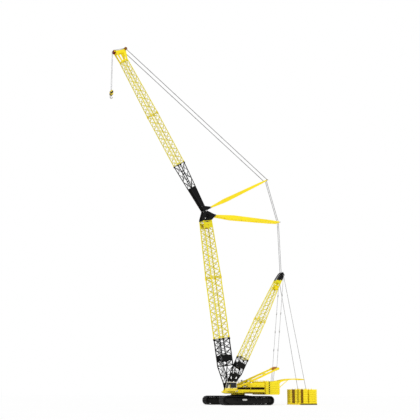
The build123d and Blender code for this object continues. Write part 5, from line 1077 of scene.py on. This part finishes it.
rope_wraps("hoist_rope_wraps", TIP, HOIST_REACH, hoist_ys, THICK_ROPE, math.radians(105), "hoist_line")
boom_run = mesh_grid((0.060,), (-0.056, 0.0, 0.056), (0.708,))
ropes("boom_rope_run", on_boom(boom_run), on_boom(boom_run + (0.006, 0, 3.072)), ROPE_RADIUS, "boom")
derrick_run = mesh_grid((0.044,), (-0.030, 0.0, 0.030), (0.608,))
ropes("derrick_rope_run", on_derrick(derrick_run), on_derrick(derrick_run + (-0.002, 0, 2.442)), ROPE_RADIUS, "derrick")
HORN = on_jib((-0.157, 0, JIB_LENGTH + 0.090))
head_run = mesh_grid((HORN[0],), paired(SHEAVE_YS, HEAD_PAIR), (HORN[2] + 0.0332,))
head_end = mesh_grid((TIP[0],), hoist_ys, (TIP[2] + HOIST_REACH,))
ropes("jib_head_rope_run", head_run, head_end, HEAD_ROPE, "jib")


def couplings(start, end, y, count):
    """Turnbuckle couplings along a pair of stay bars: spindles with rounded ends at even shares of the length."""
    t = (np.arange(count) + 1.0)[:, None] / (count + 1)
    line = np.asarray(start) * (1 - t) + np.asarray(end) * t
    places = np.concatenate([line + (0, y, 0), line - (0, y, 0)])
    profile = ((-0.032, 0), (-0.032, 0.007), (-0.024, 0.0115), (0.024, 0.0115), (0.032, 0.007), (0.032, 0))
    return spindles(profile, places, np.asarray(end) - np.asarray(start), 12)


STAY_START, STAY_END, STAY_Y = np.array([-0.7668, 0, 5.3347]), np.array([2.9307, 0, 8.0557]), 0.088
PENDANT_LOW, PENDANT_HIGH, PENDANT_Y = (-0.9606, 0, 0.834), (-1.1780, 0, 2.9702), 0.100
stay_sides = np.array([(0, -STAY_Y, 0), (0, STAY_Y, 0)])
piece("jib_stay_bars", rods(STAY_START + stay_sides, STAY_END + stay_sides, 0.0082, 12), stay_grey, "jib",
      smooth=True)
piece("jib_stay_couplings", couplings(STAY_START, STAY_END, STAY_Y, 5), bar_steel, "jib", smooth=True)
piece("pendant_couplings", couplings(PENDANT_LOW, PENDANT_HIGH, PENDANT_Y, 4), bar_steel, "derrick",
      smooth=True)


def pin_ends(places, reach, radius):
    """Pin heads on both sides of a pivot: a stepped disc with a small hexagon in the middle."""
    profile = ((0, 0), (0, radius), (0.003, radius), (0.005, 0.85 * radius), (0.005, 0.45 * radius),
               (0.009, 0.45 * radius), (0.009, 0))
    shapes = []
    for side in (-1, 1):
        foot = np.asarray(places, float).reshape(-1, 3) + (0, side * reach, 0)
        shapes.append(spindles(profile, foot, (0, side, 0), 18))
    return join(*shapes)


piece("foot_pin_heads", pin_ends([FOOT], 0.197, 0.020), pin_steel, "superstructure", smooth=True)
piece("jib_pin_heads", pin_ends([JIB_PIVOT], 0.113, 0.017), pin_steel, "boom", smooth=True)
piece("strut_tip_heads_front", pin_ends([FRONT_TIP], 0.100, 0.015), pin_steel, "jib", smooth=True)
piece("strut_tip_heads_rear", pin_ends([REAR_TIP], 0.100, 0.015), pin_steel, "boom", smooth=True)
piece("tip_shaft_heads", pin_ends([TIP], 0.080, 0.012), sheave_red, "tip_sheave", smooth=True)
piece("horn_pin_discs", pin_ends([HORN], 0.098, 0.036), sheave_brown, "jib", smooth=True)

# Cab fittings
CAB_ROOF, CAB_OUTER, CAB_INNER, CAB_FRONT, SILL = 0.506, 0.378, 0.222, 0.430, 0.376
WINDOW_Z, SEAL_CORNER, SEAL_WIDTH, SEAL_DEPTH = 0.436, 0.014, 0.006, 0.002
CAB_MID_Y = (CAB_INNER + CAB_OUTER) / 2
SCREEN_TOP, SCREEN_LEAN = CAB_ROOF - 0.020, 0.040 / (CAB_ROOF - SILL)


def screen_x(z):
    """Front face of the windscreen at a height: it leans back in a straight line from the sill."""
    return CAB_FRONT - SCREEN_LEAN * (z - SILL)


def rounded_frame(centre, size, corner, width, depth, axis_u, axis_v):
    """Frame round a window: a rectangular section carried round a rounded rectangle.

    The path is four quarter circles with straight runs between; the section goes width inwards and depth outwards
    along the face's normal.
    """
    t = np.linspace(0.0, 2.0 * math.pi, 32, endpoint=False) + math.pi / 32
    way = np.stack([np.cos(t), np.sin(t)], 1)
    middle = np.sign(way) * (np.asarray(size) / 2 - corner)
    outer, inner = middle + way * corner, middle + way * (corner - width)
    u, v = np.asarray(axis_u, float), np.asarray(axis_v, float)
    normal = np.cross(u, v)
    flat = np.stack([outer, outer, inner, inner], 1)
    rise = np.array([-0.3, 1.0, 1.0, -0.3]) * depth
    points = np.asarray(centre) + flat[..., :1] * u + flat[..., 1:] * v + rise[:, None] * normal
    row = 4 * np.arange(len(t))[:, None]
    ahead = np.roll(row, -1, axis=0)
    k = np.arange(4)
    n = (k + 1) % 4
    return points.reshape(-1, 3), [np.stack([row + k, ahead + k, ahead + n, row + n], -1).reshape(-1, 4)]


far_seal = rounded_frame((0.313, CAB_INNER, WINDOW_Z), (0.134, 0.100), SEAL_CORNER, SEAL_WIDTH, SEAL_DEPTH, (1, 0, 0),
                         (0, 0, 1))
screen_mid = (SILL + SCREEN_TOP) / 2
lean_axis = np.array([-SCREEN_LEAN, 0, 1.0])
lean_axis /= np.linalg.norm(lean_axis)
screen_size = (0.116, (SCREEN_TOP - SILL) * math.hypot(1.0, SCREEN_LEAN))
screen_seal = rounded_frame((screen_x(screen_mid), CAB_MID_Y, screen_mid), screen_size, 0.008, SEAL_WIDTH, SEAL_DEPTH,
                            (0, 1, 0), lean_axis)
piece("cab_window_seals", join(far_seal, screen_seal), seal_rubber, "cab", smooth=True)
door_seal = rounded_frame((0.311, CAB_OUTER, WINDOW_Z), (0.106, 0.094), SEAL_CORNER, SEAL_WIDTH, SEAL_DEPTH, (-1, 0, 0),
                          (0, 0, 1))
piece("door_window_seal", door_seal, seal_rubber, "cab_door", smooth=True)
handle_low = np.array([(0.352, CAB_OUTER, 0.370), (0.330, CAB_OUTER, 0.370)])
out = np.array([0, 0.007, 0])
handle = join(rods(handle_low, handle_low + out, 0.002, 6), rods([handle_low[1] + out - (0.004, 0, 0)],
                                                              [handle_low[0] + out + (0.004, 0, 0)], 0.0026))
piece("door_handle", handle, black_paint, "cab_door", smooth=True)

wiper_foot = np.array([screen_x(0.380) + 0.006, CAB_MID_Y - 0.010, 0.380])
wiper_top = np.array([screen_x(0.455) + 0.005, CAB_MID_Y + 0.022, 0.455])
blade = lean_axis * 0.030
wiper = join(
    rods([wiper_foot - (0.008, 0, 0)], [wiper_foot + (0.002, 0, 0)], 0.004),
    rods([wiper_foot], [wiper_top], 0.0016, 6),
    rods([wiper_top - blade], [wiper_top + blade], 0.0020, 6),
)
piece("wiper", wiper, black_paint, "cab", smooth=True)
rail_low = np.array([0.398, CAB_OUTER, 0.330])
rail = np.array([0, 0.010, 0])
tall = np.array([-0.014, 0, 0.125])
grab = join(
    rods([rail_low, rail_low + tall], [rail_low + rail, rail_low + tall + rail], 0.0024),
    rods([rail_low + rail - 0.03 * tall], [rail_low + rail + 1.03 * tall], 0.0024),
)
piece("cab_grab_rail", grab, yellow_paint, "cab", smooth=True)
mirror_root = np.array([screen_x(0.470) - 0.012, CAB_OUTER - 0.002, 0.474])
mirror_end = mirror_root + (0.030, 0.034, -0.006)
mirror = join(
    rods([mirror_root], [mirror_end], 0.0022),
    spindles(((0, 0), (0, 0.012), (0.004, 0.016), (0.009, 0.0165), (0.009, 0)), [mirror_end - (0.002, 0, 0.004)],
             (1, 0.25, 0), 20),
)
piece("cab_mirror", mirror, black_paint, "cab", smooth=True)


def work_lamps(feet, way):
    """Work lamps: a bracket, a cup whose radius opens to its rim, and the lens set into the rim."""
    feet = np.asarray(feet, float)
    up = np.array([0, 0, 0.017])
    cup = ((-0.012, 0), (-0.012, 0.006), (-0.004, 0.011), (0.007, 0.012), (0.007, 0.0105), (0.004, 0.0105), (0.004, 0))
    shell = join(spindles(cup, feet + up, way, 20), rods(feet, feet + 0.6 * up, 0.003))
    lens = spindles(((0.002, 0), (0.002, 0.0104), (0.0045, 0.0104), (0.0065, 0.005), (0.0065, 0)), feet + up, way, 20)
    return shell, lens


cab_lamps = work_lamps(mesh_grid((0.372,), (0.250, 0.350), (CAB_ROOF - 0.001,)), (1, 0, -0.15))
piece("cab_lamp_cups", cab_lamps[0], black_paint, "cab", smooth=True)
piece("cab_lamp_lenses", cab_lamps[1], lens_clear, "cab", smooth=True)
house_lamps = work_lamps(mesh_grid((HOUSE_FRONT - 0.020,), (-0.290, 0.290), (HOUSE_TOP,)), (1, 0, -0.2))
piece("house_lamp_cups", house_lamps[0], black_paint, "superstructure", smooth=True)
piece("house_lamp_lenses", house_lamps[1], lens_clear, "superstructure", smooth=True)
levers_low = mesh_grid((0.330,), (0.268, 0.332), (0.313,))
levers = join(
    blocks(levers_low + (0, 0, 0.030), (0.060, 0.016, 0.060), 0.004),
    rods(levers_low + (0.018, 0, 0.058), levers_low + (0.024, 0, 0.086), 0.0022),
    spindles(((0, 0), (0.002, 0.004), (0.008, 0.005), (0.012, 0.003), (0.012, 0)), levers_low + (0.024, 0, 0.084),
             (0.2, 0, 1), 12),
)
piece("cab_consoles", levers, seat_plastic, "cab")


# Studio: white room seen by the camera, by reflections and through glass; soft light on the object
def seen_directly(tree):
    """One for what the camera sees straight, in a reflection or through glass, and nought for light on the object."""
    path = tree.nodes.new("ShaderNodeLightPath")
    seen = path.outputs["Is Camera Ray"]
    for ray in ("Is Glossy Ray", "Is Transmission Ray"):
        seen = combine(tree, "MAXIMUM", seen, path.outputs[ray])
    return seen


def studio_floor():
    """Pale floor: mostly its own white to the camera, with a share of lit paint that keeps the shadow."""
    mat, tree, shader, place = new_finish("studio_floor")
    white = ramp(tree, noise(tree, place, 0.6), (0.93, 0.93, 0.93), (0.96, 0.96, 0.96))
    tree.links.new(white, shader.inputs["Base Color"])
    tree.links.new(span(tree, noise(tree, place, 3.0), 0.75, 0.9), shader.inputs["Roughness"])
    glow = tree.nodes.new("ShaderNodeEmission")
    both = tree.nodes.new("ShaderNodeMixShader")
    tree.links.new(span(tree, seen_directly(tree), 0.0, 0.75), both.inputs["Fac"])
    tree.links.new(shader.outputs["BSDF"], both.inputs[1])
    tree.links.new(glow.outputs["Emission"], both.inputs[2])
    tree.links.new(both.outputs["Shader"], tree.nodes["Material Output"].inputs["Surface"])
    return mat


HALF_FLOOR, FLOOR_Z = 40.0, -0.0005
floor_mesh = bpy.data.meshes.new("studio_floor")
corners = mesh_grid((-HALF_FLOOR, HALF_FLOOR), (-HALF_FLOOR, HALF_FLOOR), (FLOOR_Z,))[[0, 2, 3, 1]]
floor_mesh.from_pydata(corners.tolist(), [], [(0, 1, 2, 3)])
floor_mesh.materials.append(studio_floor())
floor = bpy.data.objects.new("studio_floor", floor_mesh)
bpy.context.collection.objects.link(floor)

world = bpy.data.worlds.new("studio")
bpy.context.scene.world = world
world.use_nodes = True
world_tree = world.node_tree
backdrop = world_tree.nodes["Background"]
backdrop.inputs["Color"].default_value = (1.0, 1.0, 1.0, 1.0)
world_tree.links.new(span(world_tree, seen_directly(world_tree), 0.62, 1.0), backdrop.inputs["Strength"])

sun_data = bpy.data.lights.new("soft_sun", "SUN")
sun_data.energy = 1.9
sun_data.angle = math.radians(25.0)
sun = bpy.data.objects.new("soft_sun", sun_data)
sun.rotation_euler = (math.radians(-48.0), math.radians(14.0), math.radians(-28.0))
bpy.context.collection.objects.link(sun)

# Camera found from the photograph: a near-level view from low on the left, looking up at the jib
VIEW_TURN = math.radians(25.047)
VIEW_ROLL = math.radians(0.25)
VIEW_RISE = math.radians(11.93)
EYE = Vector((9.0600, 17.8428, 0.300))
FOCAL_PIXELS, IMAGE_PIXELS, SENSOR = 858.26, 420, 36.0
forward = Vector((
    -math.sin(VIEW_TURN) * math.cos(VIEW_RISE), -math.cos(VIEW_TURN) * math.cos(VIEW_RISE), math.sin(VIEW_RISE),
))
camera_data = bpy.data.cameras.new("photo_view")
camera_data.sensor_width = SENSOR
camera_data.lens = FOCAL_PIXELS / IMAGE_PIXELS * SENSOR
camera_data.clip_end = 200.0
camera = bpy.data.objects.new("photo_view", camera_data)
camera.location = EYE
rolled = forward.to_track_quat("-Z", "Y") @ Quaternion((0.0, 0.0, 1.0), VIEW_ROLL)
camera.rotation_euler = rolled.to_euler()
bpy.context.collection.objects.link(camera)
bpy.context.scene.camera = camera
bpy.context.scene.view_settings.view_transform = "Standard"
